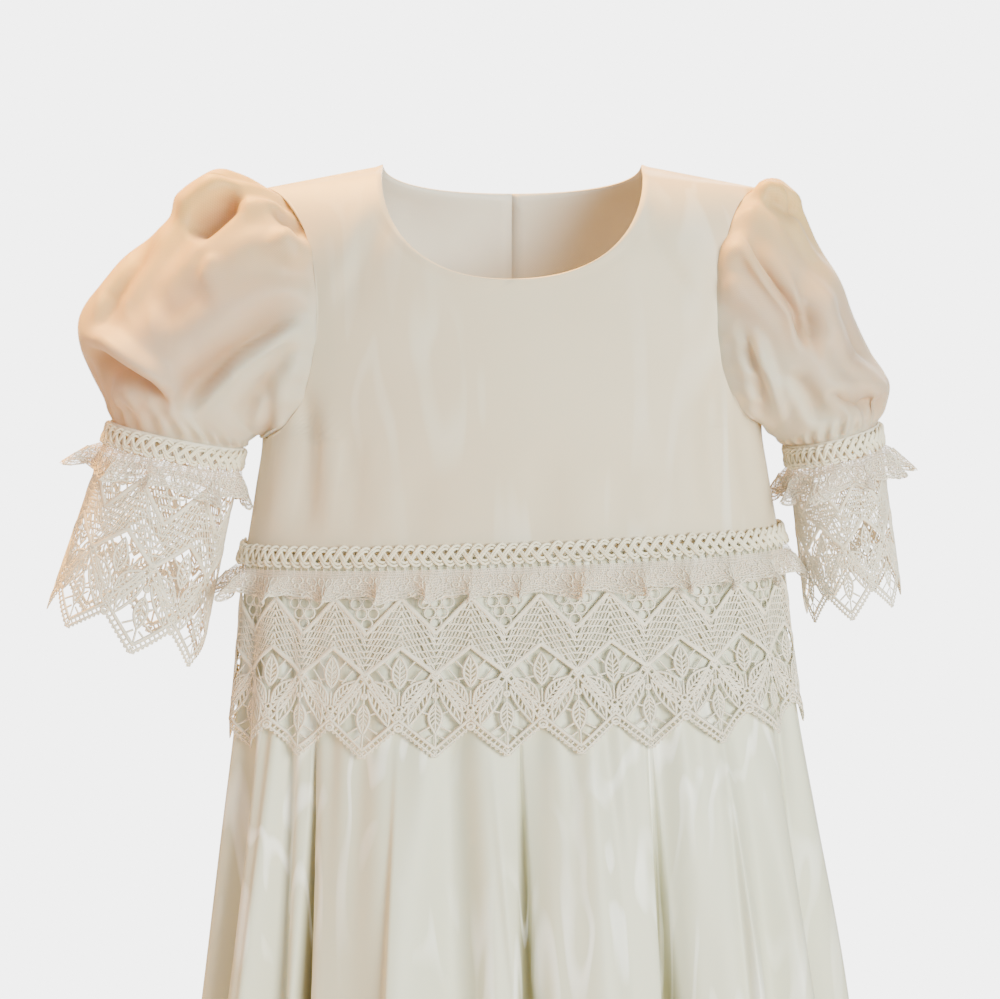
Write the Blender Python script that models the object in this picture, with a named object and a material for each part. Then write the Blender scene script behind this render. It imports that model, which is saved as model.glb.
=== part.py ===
# A baby's christening gown, filled out and hollow: puff sleeves with wide lace cuffs,
# a plain bodice, a lace peplum with braid and a gathered ruffle at the waist, long skirt.
# Metres, +Z up, the front faces -Y. The origin is midway between the two neck points,
# where the shoulders carry the gown. "left" is -X, as seen from the front.

import bpy
import bmesh
from collections import namedtuple
from math import cos, exp, pi, radians, sin, sqrt
from mathutils import Vector

# Clearances and cloth walls
GAP = 0.0003           # between pieces that meet at a seam
REST = 0.0007          # under a piece that lies on another
CLOTH = 0.0012         # lined bodice, and satin with its sheer overlay
SLEEVE_CLOTH = 0.0010  # sheer sleeve
LACE = 0.0012
BRAID = 0.0022

# Driving sizes
NECK_X = 0.0576        # half the neck's width
NECK_FRONT = 0.050     # how deep the round neck drops in front
NECK_BACK = 0.012      # and behind
TIP_X = 0.110          # shoulder tip, where the sleeve starts
TIP_Z = -0.010
UNDERARM_Z = -0.118
SCOOP_LEFT = 0.026     # how far each armhole curves in at the front, and at the back
SCOOP_RIGHT = 0.021
SCOOP_BACK = 0.016
WAIST_Z = -0.167
HEM_Z = -0.760
SHOULDER_ROUND = 0.045  # height over which a shoulder rounds over
SQUARE = 2.3           # 2 is an ellipse, more is squarer
TILT = 0.035           # the right side hangs a little higher at the waist
TILT_START = 0.03      # drops between which that tilt grows, then fades away to the hem
TILT_FULL = 0.15
TILT_FADE = 0.42
ARMHOLE_GAP = 0.00045  # between the armhole's edge and the sleeve's first ring
SLEEVE_HEAD = 0.4      # share of the sleeve over which it leaves the armhole's shape
LACE_DEPTH = 0.087     # wide lace, to its points
LACE_STAND = 0.0012    # how far the waist lace stands off at its lower edge
POINT = 0.0135         # height of a lace point
WAIST_REPEATS = 20     # lace points round the waist
CUFF_REPEATS = 7       # and round a cuff

# The body's sections. Depths are from the side seam's plane, forward and back.
Torso = namedtuple("Torso", "z width front back")
TORSO = [
    Torso(z=0.020, width=0.1190, front=0.042, back=0.040),
    Torso(z=-0.010, width=0.1190, front=0.044, back=0.041),
    Torso(z=-0.055, width=0.1185, front=0.047, back=0.043),
    Torso(z=-0.095, width=0.1150, front=0.050, back=0.046),
    Torso(z=-0.118, width=0.1120, front=0.051, back=0.047),
    Torso(z=-0.140, width=0.1150, front=0.051, back=0.048),
    Torso(z=-0.167, width=0.1195, front=0.052, back=0.049),
]

# The skirt's sections. fold is the depth of its folds there, shift its lean to the right.
Skirt = namedtuple("Skirt", "z width front back fold shift")
SKIRT = [
    Skirt(z=-0.167, width=0.1195, front=0.052, back=0.049, fold=0.0006, shift=0.000),
    Skirt(z=-0.235, width=0.1250, front=0.064, back=0.060, fold=0.0035, shift=0.001),
    Skirt(z=-0.300, width=0.1325, front=0.077, back=0.071, fold=0.0080, shift=0.003),
    Skirt(z=-0.380, width=0.1420, front=0.090, back=0.082, fold=0.0125, shift=0.005),
    Skirt(z=-0.500, width=0.1570, front=0.104, back=0.095, fold=0.0170, shift=0.006),
    Skirt(z=-0.640, width=0.1730, front=0.118, back=0.107, fold=0.0210, shift=0.007),
    Skirt(z=-0.760, width=0.1850, front=0.128, back=0.116, fold=0.0240, shift=0.008),
]

# Skirt folds, by turn round the waist in degrees: 180 left seam, 270 front, 0 right seam,
# 90 back. drift is the turn gained down to the hem, half the width's angle, share the
# part of the section's fold depth; troughs are negative.
Fold = namedtuple("Fold", "turn drift half share")
FOLDS = [
    Fold(turn=192, drift=-2, half=5.0, share=0.45),
    Fold(turn=201, drift=-3, half=3.6, share=-0.80),
    Fold(turn=210, drift=-2, half=5.0, share=0.50),
    Fold(turn=218, drift=-1, half=3.4, share=-0.70),
    Fold(turn=229, drift=0, half=2.8, share=-1.00),
    Fold(turn=243, drift=9, half=7.0, share=0.50),
    Fold(turn=257, drift=4, half=5.5, share=-0.45),
    Fold(turn=267, drift=1, half=4.0, share=0.45),
    Fold(turn=274, drift=1, half=3.0, share=-0.75),
    Fold(turn=283, drift=2, half=5.0, share=0.45),
    Fold(turn=298, drift=1, half=3.0, share=-1.00),
    Fold(turn=310, drift=2, half=6.0, share=0.35),
    Fold(turn=320, drift=1, half=4.0, share=-0.40),
    Fold(turn=328, drift=2, half=4.5, share=0.50),
    Fold(turn=340, drift=2, half=4.0, share=-0.60),
    Fold(turn=351, drift=1, half=5.0, share=0.40),
    Fold(turn=15, drift=2, half=4.5, share=-0.70),
    Fold(turn=30, drift=3, half=6.0, share=0.45),
    Fold(turn=46, drift=1, half=3.2, share=-0.90),
    Fold(turn=62, drift=-2, half=6.5, share=0.50),
    Fold(turn=77, drift=0, half=3.4, share=-0.65),
    Fold(turn=92, drift=3, half=5.5, share=0.45),
    Fold(turn=106, drift=1, half=3.0, share=-1.00),
    Fold(turn=124, drift=-3, half=7.0, share=0.45),
    Fold(turn=138, drift=-1, half=3.4, share=-0.75),
    Fold(turn=150, drift=1, half=5.0, share=0.40),
    Fold(turn=163, drift=2, half=4.0, share=-0.65),
]

# A puff sleeve is a fan of oval sections about the underarm. turn is the fan's angle from
# straight up, inner and outer its reach from the pivot, depth its half depth in Y.
PIVOT_X = 0.110
PIVOT_Z = -0.128
Fan = namedtuple("Fan", "turn inner outer depth")
LEFT_SLEEVE = [
    Fan(turn=0, inner=0.0100, outer=0.1180, depth=0.036),
    Fan(turn=10, inner=0.0090, outer=0.1265, depth=0.044),
    Fan(turn=24, inner=0.0085, outer=0.1120, depth=0.050),
    Fan(turn=39, inner=0.0085, outer=0.1060, depth=0.052),
    Fan(turn=54, inner=0.0090, outer=0.1030, depth=0.050),
    Fan(turn=63, inner=0.0098, outer=0.0905, depth=0.044),
    Fan(turn=71, inner=0.0105, outer=0.0760, depth=0.035),
    Fan(turn=78, inner=0.0115, outer=0.0705, depth=0.028),
]
RIGHT_SLEEVE = [
    Fan(turn=0, inner=0.0100, outer=0.1180, depth=0.036),
    Fan(turn=4, inner=0.0100, outer=0.1215, depth=0.042),
    Fan(turn=8, inner=0.0100, outer=0.1150, depth=0.046),
    Fan(turn=16, inner=0.0100, outer=0.0960, depth=0.050),
    Fan(turn=33, inner=0.0100, outer=0.0760, depth=0.051),
    Fan(turn=48, inner=0.0105, outer=0.0680, depth=0.049),
    Fan(turn=61, inner=0.0110, outer=0.0665, depth=0.045),
    Fan(turn=69, inner=0.0125, outer=0.0600, depth=0.041),
    Fan(turn=75, inner=0.0145, outer=0.0550, depth=0.037),
]

# The largest sleeve folds. round is degrees round the sleeve from the shoulder through the
# front, start and end are along the sleeve from 0 to 1, slant is the degrees gained.
Sweep = namedtuple("Sweep", "round slant start end half depth")
LEFT_SWEEPS = [
    Sweep(round=20, slant=30, start=0.0, end=0.55, half=11, depth=-0.0055),
    Sweep(round=62, slant=-20, start=0.1, end=1.0, half=14, depth=-0.0045),
    Sweep(round=104, slant=26, start=0.25, end=1.0, half=13, depth=-0.0050),
    Sweep(round=325, slant=-24, start=0.0, end=0.7, half=13, depth=-0.0050),
    Sweep(round=268, slant=18, start=0.2, end=1.0, half=15, depth=-0.0045),
]
RIGHT_SWEEPS = [
    Sweep(round=38, slant=-14, start=0.0, end=0.8, half=12, depth=-0.0045),
    Sweep(round=74, slant=-18, start=0.1, end=1.0, half=12, depth=-0.0050),
    Sweep(round=118, slant=-22, start=0.3, end=1.0, half=12, depth=-0.0045),
    Sweep(round=322, slant=16, start=0.0, end=0.8, half=13, depth=-0.0050),
    Sweep(round=262, slant=20, start=0.2, end=1.0, half=14, depth=-0.0045),
]

# The lace cuff below each sleeve: lean is its slant outwards for each unit of drop, droop
# the share by which it hangs lower beside the body.
Cuff = namedtuple("Cuff", "side sleeve sweeps lean flare length droop")
CUFFS = {
    "left": Cuff(side=-1, sleeve=LEFT_SLEEVE, sweeps=LEFT_SWEEPS, lean=0.28, flare=0.0065,
                 length=0.096, droop=0.055),
    "right": Cuff(side=1, sleeve=RIGHT_SLEEVE, sweeps=RIGHT_SWEEPS, lean=0.135, flare=0.0010,
                  length=0.080, droop=0.0),
}

# Trims: how far each starts above its seam and how wide it is
BRAID_WIDTH = 0.010
BRAID_ABOVE = 0.004    # at the waist; a cuff's braid hangs wholly below the seam
RUFFLE_WIDTH = 0.0125
RUFFLE_WAVE = 0.0018   # half the swing of a gathered ruffle
WAIST_RUFFLE_REST = 0.0006  # slack under each ruffle's top edge
CUFF_RUFFLE_REST = 0.0004
WAIST_RUFFLE_WAVES = 26
CUFF_RUFFLE_WAVES = 9

# Back closing
PLACKET_WIDTH = 0.014
PLACKET_DROP = 0.001   # its top edge lies this far below the neck
BUTTON_RADIUS = 0.0045
BUTTON_TAPER = 0.8     # the outer face is this much smaller
BUTTON_THICK = 0.0022
BUTTON_DROPS = (0.030, 0.078, 0.126)  # below the neck point

COLUMNS = 7            # across half a bodice panel
ARM_ROWS = 12          # underarm to shoulder
SIDE_ROWS = 3          # waist to underarm
NECK_SHARE = 0.5       # of the arm rows that run up the centre line, below the neck
SLEEVE_ROWS = 9
SKIRT_ROWS = 6
SKIRT_SPREAD = 1.25    # above 1 sets the skirt's rows closer together near the waist
SKIRT_COLUMNS = 40     # across each half of the skirt
LACE_COLUMNS = 4       # for each lace repeat, and each wave of a ruffle
LACE_ROWS = 3
CUFF_ROWS = 2
BRAID_COLUMNS = 48
PLACKET_COLUMNS = 2
PLACKET_ROWS = 10
BUTTON_SIDES = 16
SHARP = 50             # degrees between faces that keep a hard edge

# name: colour, roughness, strength of sheen
FINISHES = {
    "organza": ((0.72, 0.64, 0.52), 0.55, 0.3),
    "sleeve_organza": ((0.80, 0.70, 0.58), 0.50, 0.3),
    "satin": ((0.70, 0.68, 0.58), 0.38, 0.2),
    "guipure": ((0.80, 0.74, 0.63), 0.75, 0.1),
    "gimp": ((0.80, 0.72, 0.57), 0.70, 0.1),
    "button": ((0.86, 0.82, 0.74), 0.25, 0.0),
}


def between(table, where):
    """The table's row at a value of its first column, on smooth curves through its rows."""
    rows = sorted(table)
    keys = [row[0] for row in rows]
    where = min(max(where, keys[0]), keys[-1])
    low = min(sum(key <= where for key in keys) - 1, len(rows) - 2)
    span = keys[low + 1] - keys[low]
    t = (where - keys[low]) / span

    def slope(index, column):
        before = max(index - 1, 0)
        after = min(index + 1, len(rows) - 1)
        return (rows[after][column] - rows[before][column]) / (keys[after] - keys[before])

    values = []
    for column in range(len(rows[0])):
        start = rows[low][column]
        end = rows[low + 1][column]
        values.append((2 * t**3 - 3 * t**2 + 1) * start + (3 * t**2 - 2 * t**3) * end
                      + (t**3 - 2 * t**2 + t) * span * slope(low, column)
                      + (t**3 - t**2) * span * slope(low + 1, column))
    return type(rows[0])(*values)


def ease(value, low, high):
    """0 below low, 1 above high, and a smooth step between them."""
    t = min(max((value - low) / (high - low), 0), 1)
    return t * t * (3 - 2 * t)


def hang(x, y, z):
    """A point of the gown once its waist hangs a little higher on the right."""
    share = ease(-z, TILT_START, TILT_FULL) * (1 - ease(-z, TILT_FADE, -HEM_Z))
    return Vector((x, y, z + TILT * x * share))


def oval_depth(x, width):
    """How deep a section is at x, as a share of its greatest depth."""
    return (1 - min(1, abs(x) / width) ** SQUARE) ** (1 / SQUARE)


def shoulder_height(x):
    return (NECK_X - abs(x)) * TIP_Z / (NECK_X - TIP_X)


def body_point(x, z, back):
    """The bodice's outer face at x and z, on the front or the back."""
    section = between(TORSO, z)
    reach = section.back if back else section.front
    drop = min(max((shoulder_height(x) - z) / SHOULDER_ROUND, 0), 1)
    depth = reach * oval_depth(x, section.width) * sqrt(1 - (1 - drop) ** 2)
    return hang(x, depth + GAP / 2 if back else -depth - GAP / 2, z)


def armhole(rise, side, back):
    """x and z of the armhole's edge, from the underarm at 0 to the shoulder tip at 1."""
    scoop = SCOOP_BACK if back else SCOOP_LEFT if side < 0 else SCOOP_RIGHT
    reach = between(TORSO, UNDERARM_Z).width * (1 - rise) + TIP_X * rise
    middle = (TIP_Z + UNDERARM_Z) / 2
    half = (TIP_Z - UNDERARM_Z) / 2
    return side * (reach - scoop * sin(pi * rise)), middle - half * cos(pi * rise)


def neck(share, back):
    """x and z on the neck's edge, from its lowest point at 0 to the neck point at 1."""
    drop = NECK_BACK if back else NECK_FRONT
    x = NECK_X * sin(share * pi / 2)
    return x, -drop * oval_depth(x, NECK_X)


def bodice_point(across, rise, side, back):
    """Half a bodice panel: across runs from the side to the centre, rise from the waist
    at -1 through the underarm at 0 to the shoulder at 1."""
    if rise <= 0:
        z = UNDERARM_Z + rise * (UNDERARM_Z - WAIST_Z)
        outer = side * between(TORSO, z).width, z
        inner = 0, z
    elif rise <= NECK_SHARE:
        bottom = neck(0, back)[1]
        outer = armhole(rise, side, back)
        inner = 0, UNDERARM_Z + rise / NECK_SHARE * (bottom - UNDERARM_Z)
    else:
        x, z = neck((rise - NECK_SHARE) / (1 - NECK_SHARE), back)
        outer = armhole(rise, side, back)
        inner = side * x, z
    share = sin(pi / 2 * (1 - across))
    x = inner[0] + (outer[0] - inner[0]) * share
    z = inner[1] + (outer[1] - inner[1]) * share
    return body_point(x, z, back)


def fold_share(turn, z):
    """The folds' share of their depth at a turn in degrees: ridges add, troughs take."""
    down = (WAIST_Z - z) / (WAIST_Z - HEM_Z)
    total = 0
    for fold in FOLDS:
        away = (turn - fold.turn - fold.drift * down + 180) % 360 - 180
        total += fold.share * exp(-(away / fold.half) ** 2)
    return total


def skirt_point(turn, z, lift=0.0):
    """A point on the skirt's outer face, or lifted off it."""
    section = between(SKIRT, z)
    angle = radians(turn)
    x = section.width * cos(angle)
    reach = section.back if sin(angle) >= 0 else section.front
    y = reach * oval_depth(x, section.width) * (1 if sin(angle) >= 0 else -1)
    outward = Vector((x / section.width**2, y / reach**2, 0)).normalized()
    outward *= section.fold * fold_share(turn, z) + lift
    return hang(x + outward.x + section.shift, y + outward.y, z)


def sleeve_point(around, along, cuff):
    """A point of a sleeve: around is in degrees from its shoulder side through the front
    and its underside, along runs from the armhole at 0 to the cuff at 1."""
    section = between(cuff.sleeve, cuff.sleeve[-1].turn * along)
    turn = radians(section.turn)
    round_ = radians(around)
    reach = (section.inner + section.outer) / 2 + (section.outer - section.inner) / 2 * cos(round_)
    x = cuff.side * (PIVOT_X + reach * sin(turn))
    point = Vector((x, -section.depth * sin(round_), PIVOT_Z + reach * cos(turn)))
    centre = fan_centre(cuff, along)
    for sweep in cuff.sweeps:
        share = (along - sweep.start) / (sweep.end - sweep.start)
        if 0 < share < 1:
            away = (around - sweep.round - sweep.slant * share + 180) % 360 - 180
            size = sweep.depth * sin(pi * share) * exp(-(away / sweep.half) ** 2)
            point += (point - centre).normalized() * size
    # The first ring follows the armhole, just clear of its edge
    back = around > 180
    rise = 1 - (around if around <= 180 else 360 - around) / 180
    edge_x, edge_z = armhole(rise, cuff.side, back)
    edge = body_point(edge_x, edge_z, back)
    middle = Vector((edge.x, 0, (TIP_Z + UNDERARM_Z) / 2))
    edge += (middle - edge).normalized() * ARMHOLE_GAP
    edge.x += cuff.side * ARMHOLE_GAP
    first = cuff.sleeve[0]
    start = (first.inner + first.outer) / 2 + (first.outer - first.inner) / 2 * cos(round_)
    start = Vector((cuff.side * PIVOT_X, -first.depth * sin(round_), PIVOT_Z + start))
    return point + (edge - start) * (1 - ease(along, 0, SLEEVE_HEAD))


def fan_centre(cuff, along):
    """The middle of a sleeve's section."""
    section = between(cuff.sleeve, cuff.sleeve[-1].turn * along)
    turn = radians(section.turn)
    reach = (section.inner + section.outer) / 2
    return Vector((cuff.side * (PIVOT_X + reach * sin(turn)), 0, PIVOT_Z + reach * cos(turn)))


def cuff_axis(cuff):
    """The way down the cuff, square to the sleeve's last section."""
    turn = radians(cuff.sleeve[-1].turn)
    return Vector((cuff.side * cos(turn), 0, -sin(turn)))


def cuff_point(around, down, cuff, lift=0.0):
    """A point on the lace cuff's outer face, down metres below the sleeve, or off it."""
    rim = sleeve_point(around, 1, cuff)
    centre = fan_centre(cuff, 1)
    last = cuff.sleeve[-1]
    half = (last.outer - last.inner) / 2
    outward = rim - centre
    outward = Vector((outward.x / half**2, outward.y / last.depth**2, outward.z / half**2))
    outward.normalize()
    lean = Vector((cuff.side * cuff.lean, 0, -1)).normalized()
    spread = cuff.flare * down / cuff.length
    return rim + lean * down + outward * (lift + spread)


def lace_edge(share, repeats):
    """0 at a lace point, 1 in the notch between two points, for a share of a full turn."""
    phase = share * repeats % 1
    return 1 - abs(2 * phase - 1)


def finish(name):
    if name in bpy.data.materials:
        return bpy.data.materials[name]
    colour, roughness, sheen = FINISHES[name]
    material = bpy.data.materials.new(name)
    material.use_nodes = True
    shader = material.node_tree.nodes["Principled BSDF"]
    shader.inputs["Base Color"].default_value = (*colour, 1)
    shader.inputs["Roughness"].default_value = roughness
    shader.inputs["Metallic"].default_value = 0
    shader.inputs["Sheen Weight"].default_value = sheen
    return material


def add_object(name, bm, look):
    bmesh.ops.recalc_face_normals(bm, faces=bm.faces)
    mesh = bpy.data.meshes.new(name)
    bm.to_mesh(mesh)
    bm.free()
    mesh.shade_smooth()
    mesh.set_sharp_from_angle(angle=radians(SHARP))
    mesh.materials.append(finish(look))
    piece = bpy.data.objects.new(name, mesh)
    bpy.context.scene.collection.objects.link(piece)
    return piece


def sheet(columns, rows, place):
    """An open sheet through place(across, up), both from 0 to 1, its front outwards. Its
    ends are joined where they meet."""
    bm = bmesh.new()
    bmesh.ops.create_grid(bm, x_segments=columns, y_segments=rows, size=0.5)
    for vert in bm.verts:
        vert.co = place(vert.co.x + 0.5, vert.co.y + 0.5)
    bmesh.ops.remove_doubles(bm, verts=bm.verts, dist=1e-6)
    return bm


def thicken(bm, wall, rims=()):
    """Gives an open sheet its wall, inwards. On each rim, a plane given by a point and an
    axis, the wall stays in the plane, so that the pieces on both sides never cross."""
    bm.normal_update()
    inward = {}
    for vert in bm.verts:
        normal = vert.normal.copy()
        for point, axis in rims:
            if abs((vert.co - point).dot(axis)) < 1e-4:
                normal -= axis * normal.dot(axis)
        inward[vert] = normal.normalized() * wall
    bmesh.ops.extrude_face_region(bm, geom=bm.faces[:], use_keep_orig=True)
    for vert, step in inward.items():
        vert.co -= step
    return bm


WAIST_AXIS = Vector((-TILT, 0, 1)).normalized()
WAIST_RIM = (Vector((0, 0, WAIST_Z)), WAIST_AXIS)


def seam_rim(back):
    return (Vector((0, GAP / 2 if back else -GAP / 2, 0)), Vector((0, 1, 0)))


def half_panel(side, back):
    """Half a bodice panel as an open sheet, its rows even in waist, arm and neck."""
    rows = SIDE_ROWS + ARM_ROWS
    outward = side * (1 if back else -1)

    def place(across, up):
        step = up * rows - SIDE_ROWS
        rise = step / ARM_ROWS if step > 0 else step / SIDE_ROWS
        return bodice_point(across if outward > 0 else 1 - across, rise, side, back)

    return sheet(COLUMNS, rows, place)


def build_bodice_front():
    bm = half_panel(-1, False)
    other = half_panel(1, False)
    spare = bpy.data.meshes.new("spare")
    other.to_mesh(spare)
    other.free()
    bm.from_mesh(spare)
    bpy.data.meshes.remove(spare)
    bmesh.ops.remove_doubles(bm, verts=bm.verts, dist=1e-6)
    add_object("bodice_front", thicken(bm, CLOTH, [seam_rim(False), WAIST_RIM]), "organza")


def build_bodice_back(side, name):
    bm = half_panel(side, True)
    for vert in bm.verts:
        if abs(vert.co.x) < 1e-6:
            vert.co.x = side * GAP / 2
    centre_rim = (Vector((side * GAP / 2, 0, 0)), Vector((1, 0, 0)))
    add_object(name, thicken(bm, CLOTH, [seam_rim(True), WAIST_RIM, centre_rim]), "organza")


def build_skirt(back, name):
    start = 0 if back else 180

    def place(across, up):
        z = HEM_Z + (WAIST_Z - GAP - HEM_Z) * (1 - (1 - up) ** SKIRT_SPREAD)
        point = skirt_point(start + across * 180, z)
        if across < 1e-6 or across > 1 - 1e-6:
            point.y = 0
        point.y += GAP / 2 if back else -GAP / 2
        return point

    top = (Vector((0, 0, WAIST_Z - GAP)), WAIST_AXIS)
    hem = (Vector((0, 0, HEM_Z)), Vector((0, 0, 1)))
    bm = sheet(SKIRT_COLUMNS, SKIRT_ROWS, place)
    add_object(name, thicken(bm, CLOTH, [seam_rim(back), top, hem]), "satin")


def build_waist_lace():
    def place(across, up):
        notch = POINT * lace_edge(across, WAIST_REPEATS)
        top = WAIST_Z - GAP
        z = top - (LACE_DEPTH - notch) * (1 - up)
        return skirt_point(180 + across * 360, z, REST + LACE + LACE_STAND * (1 - up))

    bm = sheet(WAIST_REPEATS * LACE_COLUMNS, LACE_ROWS, place)
    add_object("waist_lace", thicken(bm, LACE), "guipure")


def build_waist_braid():
    lift = 2 * REST + LACE + BRAID + GAP

    def place(across, up):
        z = WAIST_Z + BRAID_ABOVE - BRAID_WIDTH * (1 - up)
        return skirt_point(180 + across * 360, z, lift)

    add_object("waist_braid", thicken(sheet(BRAID_COLUMNS, 1, place), BRAID), "gimp")


def build_waist_ruffle():
    def place(across, up):
        z = WAIST_Z + BRAID_ABOVE - BRAID_WIDTH - GAP - RUFFLE_WIDTH * (1 - up)
        swing = RUFFLE_WAVE * (1 + sin(2 * pi * WAIST_RUFFLE_WAVES * across)) * (1 - up)
        lift = 2 * REST + 2 * LACE + WAIST_RUFFLE_REST + swing
        return skirt_point(180 + across * 360, z, lift)

    bm = sheet(WAIST_RUFFLE_WAVES * LACE_COLUMNS, 1, place)
    add_object("waist_ruffle", thicken(bm, LACE), "guipure")


def ring_around(cuff, across):
    """Degrees round a sleeve that run against the clock, seen from above."""
    return (across * cuff.side * -360) % 360


def build_sleeve(hand, cuff):
    def place(across, up):
        return sleeve_point(ring_around(cuff, across), 1 - up, cuff)

    rim = (fan_centre(cuff, 1), cuff_axis(cuff))
    bm = sheet(2 * ARM_ROWS, SLEEVE_ROWS, place)
    add_object("sleeve_" + hand, thicken(bm, SLEEVE_CLOTH, [rim]), "sleeve_organza")


def build_cuff_lace(hand, cuff):
    def place(across, up):
        around = ring_around(cuff, across)
        notch = POINT * lace_edge(across, CUFF_REPEATS)
        length = cuff.length * (1 - cuff.droop * cos(radians(around)))
        return cuff_point(around, GAP + (length - notch) * (1 - up), cuff)

    rim = (fan_centre(cuff, 1) + cuff_axis(cuff) * GAP, cuff_axis(cuff))
    bm = sheet(CUFF_REPEATS * LACE_COLUMNS, CUFF_ROWS, place)
    add_object("cuff_lace_" + hand, thicken(bm, LACE, [rim]), "guipure")


def build_cuff_braid(hand, cuff):
    def place(across, up):
        down = 2 * GAP + BRAID_WIDTH * (1 - up)
        return cuff_point(ring_around(cuff, across), down, cuff, REST + BRAID)

    bm = sheet(CUFF_REPEATS * LACE_COLUMNS, 1, place)
    add_object("cuff_braid_" + hand, thicken(bm, BRAID), "gimp")


def build_cuff_ruffle(hand, cuff):
    def place(across, up):
        down = BRAID_WIDTH + 3 * GAP + RUFFLE_WIDTH * (1 - up)
        swing = RUFFLE_WAVE * (1 + sin(2 * pi * CUFF_RUFFLE_WAVES * across)) * (1 - up)
        lift = REST + LACE + CUFF_RUFFLE_REST + swing
        return cuff_point(ring_around(cuff, across), down, cuff, lift)

    bm = sheet(CUFF_RUFFLE_WAVES * LACE_COLUMNS, 1, place)
    add_object("cuff_ruffle_" + hand, thicken(bm, LACE), "guipure")


def build_placket():
    """The strip down the centre back, laid on both halves."""
    top = -NECK_BACK - PLACKET_DROP
    bottom = WAIST_Z + BRAID_ABOVE + 2 * GAP

    def place(across, up):
        x = PLACKET_WIDTH * (0.5 - across)
        point = body_point(x, bottom + (top - bottom) * up, True)
        return point + Vector((0, REST + CLOTH, 0))

    bm = sheet(PLACKET_COLUMNS, PLACKET_ROWS, place)
    add_object("back_placket", thicken(bm, CLOTH), "organza")


def build_button(index, drop):
    bm = bmesh.new()
    bmesh.ops.create_cone(bm, cap_ends=True, segments=BUTTON_SIDES, radius1=BUTTON_RADIUS,
                          radius2=BUTTON_RADIUS * BUTTON_TAPER, depth=BUTTON_THICK)
    spot = body_point(0, -drop, True)
    above = body_point(0, -drop + BUTTON_RADIUS, True)
    below = body_point(0, -drop - BUTTON_RADIUS, True)
    outward = Vector((0, above.z - below.z, below.y - above.y)).normalized()
    turn = Vector((0, 0, 1)).rotation_difference(outward).to_matrix()
    bmesh.ops.rotate(bm, verts=bm.verts, cent=(0, 0, 0), matrix=turn)
    lift = 2 * REST + CLOTH + BUTTON_THICK / 2
    bmesh.ops.translate(bm, verts=bm.verts, vec=spot + outward * lift)
    add_object(f"button_{index}", bm, "button")


def build():
    for old in list(bpy.data.objects):
        bpy.data.objects.remove(old)
    build_bodice_front()
    build_bodice_back(-1, "bodice_back_left")
    build_bodice_back(1, "bodice_back_right")
    build_placket()
    for index, drop in enumerate(BUTTON_DROPS, start=1):
        build_button(index, drop)
    build_skirt(False, "skirt_front")
    build_skirt(True, "skirt_back")
    build_waist_lace()
    build_waist_braid()
    build_waist_ruffle()
    for hand, cuff in CUFFS.items():
        build_sleeve(hand, cuff)
        build_cuff_lace(hand, cuff)
        build_cuff_braid(hand, cuff)
        build_cuff_ruffle(hand, cuff)


build()
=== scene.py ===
from math import cos, exp, pi, radians, sin, sqrt

import bmesh
import bpy
import numpy as np
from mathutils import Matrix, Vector, noise


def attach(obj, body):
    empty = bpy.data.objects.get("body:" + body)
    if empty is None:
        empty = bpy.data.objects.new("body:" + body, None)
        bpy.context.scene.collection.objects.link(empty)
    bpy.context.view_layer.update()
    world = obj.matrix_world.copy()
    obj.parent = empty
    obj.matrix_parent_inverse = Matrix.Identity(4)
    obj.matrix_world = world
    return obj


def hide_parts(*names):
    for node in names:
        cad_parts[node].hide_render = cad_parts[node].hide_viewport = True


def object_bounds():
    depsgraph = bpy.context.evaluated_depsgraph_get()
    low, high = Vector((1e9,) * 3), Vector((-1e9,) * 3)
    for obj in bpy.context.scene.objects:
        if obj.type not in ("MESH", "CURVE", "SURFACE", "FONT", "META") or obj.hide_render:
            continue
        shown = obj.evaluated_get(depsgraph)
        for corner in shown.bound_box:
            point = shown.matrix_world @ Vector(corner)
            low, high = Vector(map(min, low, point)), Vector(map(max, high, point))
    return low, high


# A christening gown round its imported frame. Metres, +Z up, the front faces -Y, "left" is -X.
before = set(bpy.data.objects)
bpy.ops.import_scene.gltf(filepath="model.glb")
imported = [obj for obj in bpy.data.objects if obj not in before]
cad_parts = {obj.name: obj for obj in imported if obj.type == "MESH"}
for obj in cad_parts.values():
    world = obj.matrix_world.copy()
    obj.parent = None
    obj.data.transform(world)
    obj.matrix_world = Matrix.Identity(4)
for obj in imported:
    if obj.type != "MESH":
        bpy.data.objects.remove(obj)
cadLow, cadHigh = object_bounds()
print("frame loaded")


cut = {
    "gap": 0.0003, "rest": 0.0007, "cloth": 0.0012, "lace": 0.0012, "braid": 0.0022,
    "neckX": 0.0576, "neckFront": 0.050, "neckBack": 0.012,
    "tipX": 0.110, "tipZ": -0.010, "underarmZ": -0.118,
    "scoopLeft": 0.026, "scoopRight": 0.021, "scoopBack": 0.016,
    "waistZ": -0.167, "hemZ": -0.760, "shoulderRound": 0.045, "square": 2.3,
    "tilt": 0.035, "tiltStart": 0.03, "tiltFull": 0.15, "tiltFade": 0.42,
    "armholeGap": 0.00045, "sleeveHead": 0.4,
}

# z, half width, depth in front, depth behind
torsoRows = [
    (0.020, 0.1190, 0.042, 0.040),
    (-0.010, 0.1190, 0.044, 0.041),
    (-0.055, 0.1185, 0.047, 0.043),
    (-0.095, 0.1150, 0.050, 0.046),
    (-0.118, 0.1120, 0.051, 0.047),
    (-0.140, 0.1150, 0.051, 0.048),
    (-0.167, 0.1195, 0.052, 0.049),
]

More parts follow.
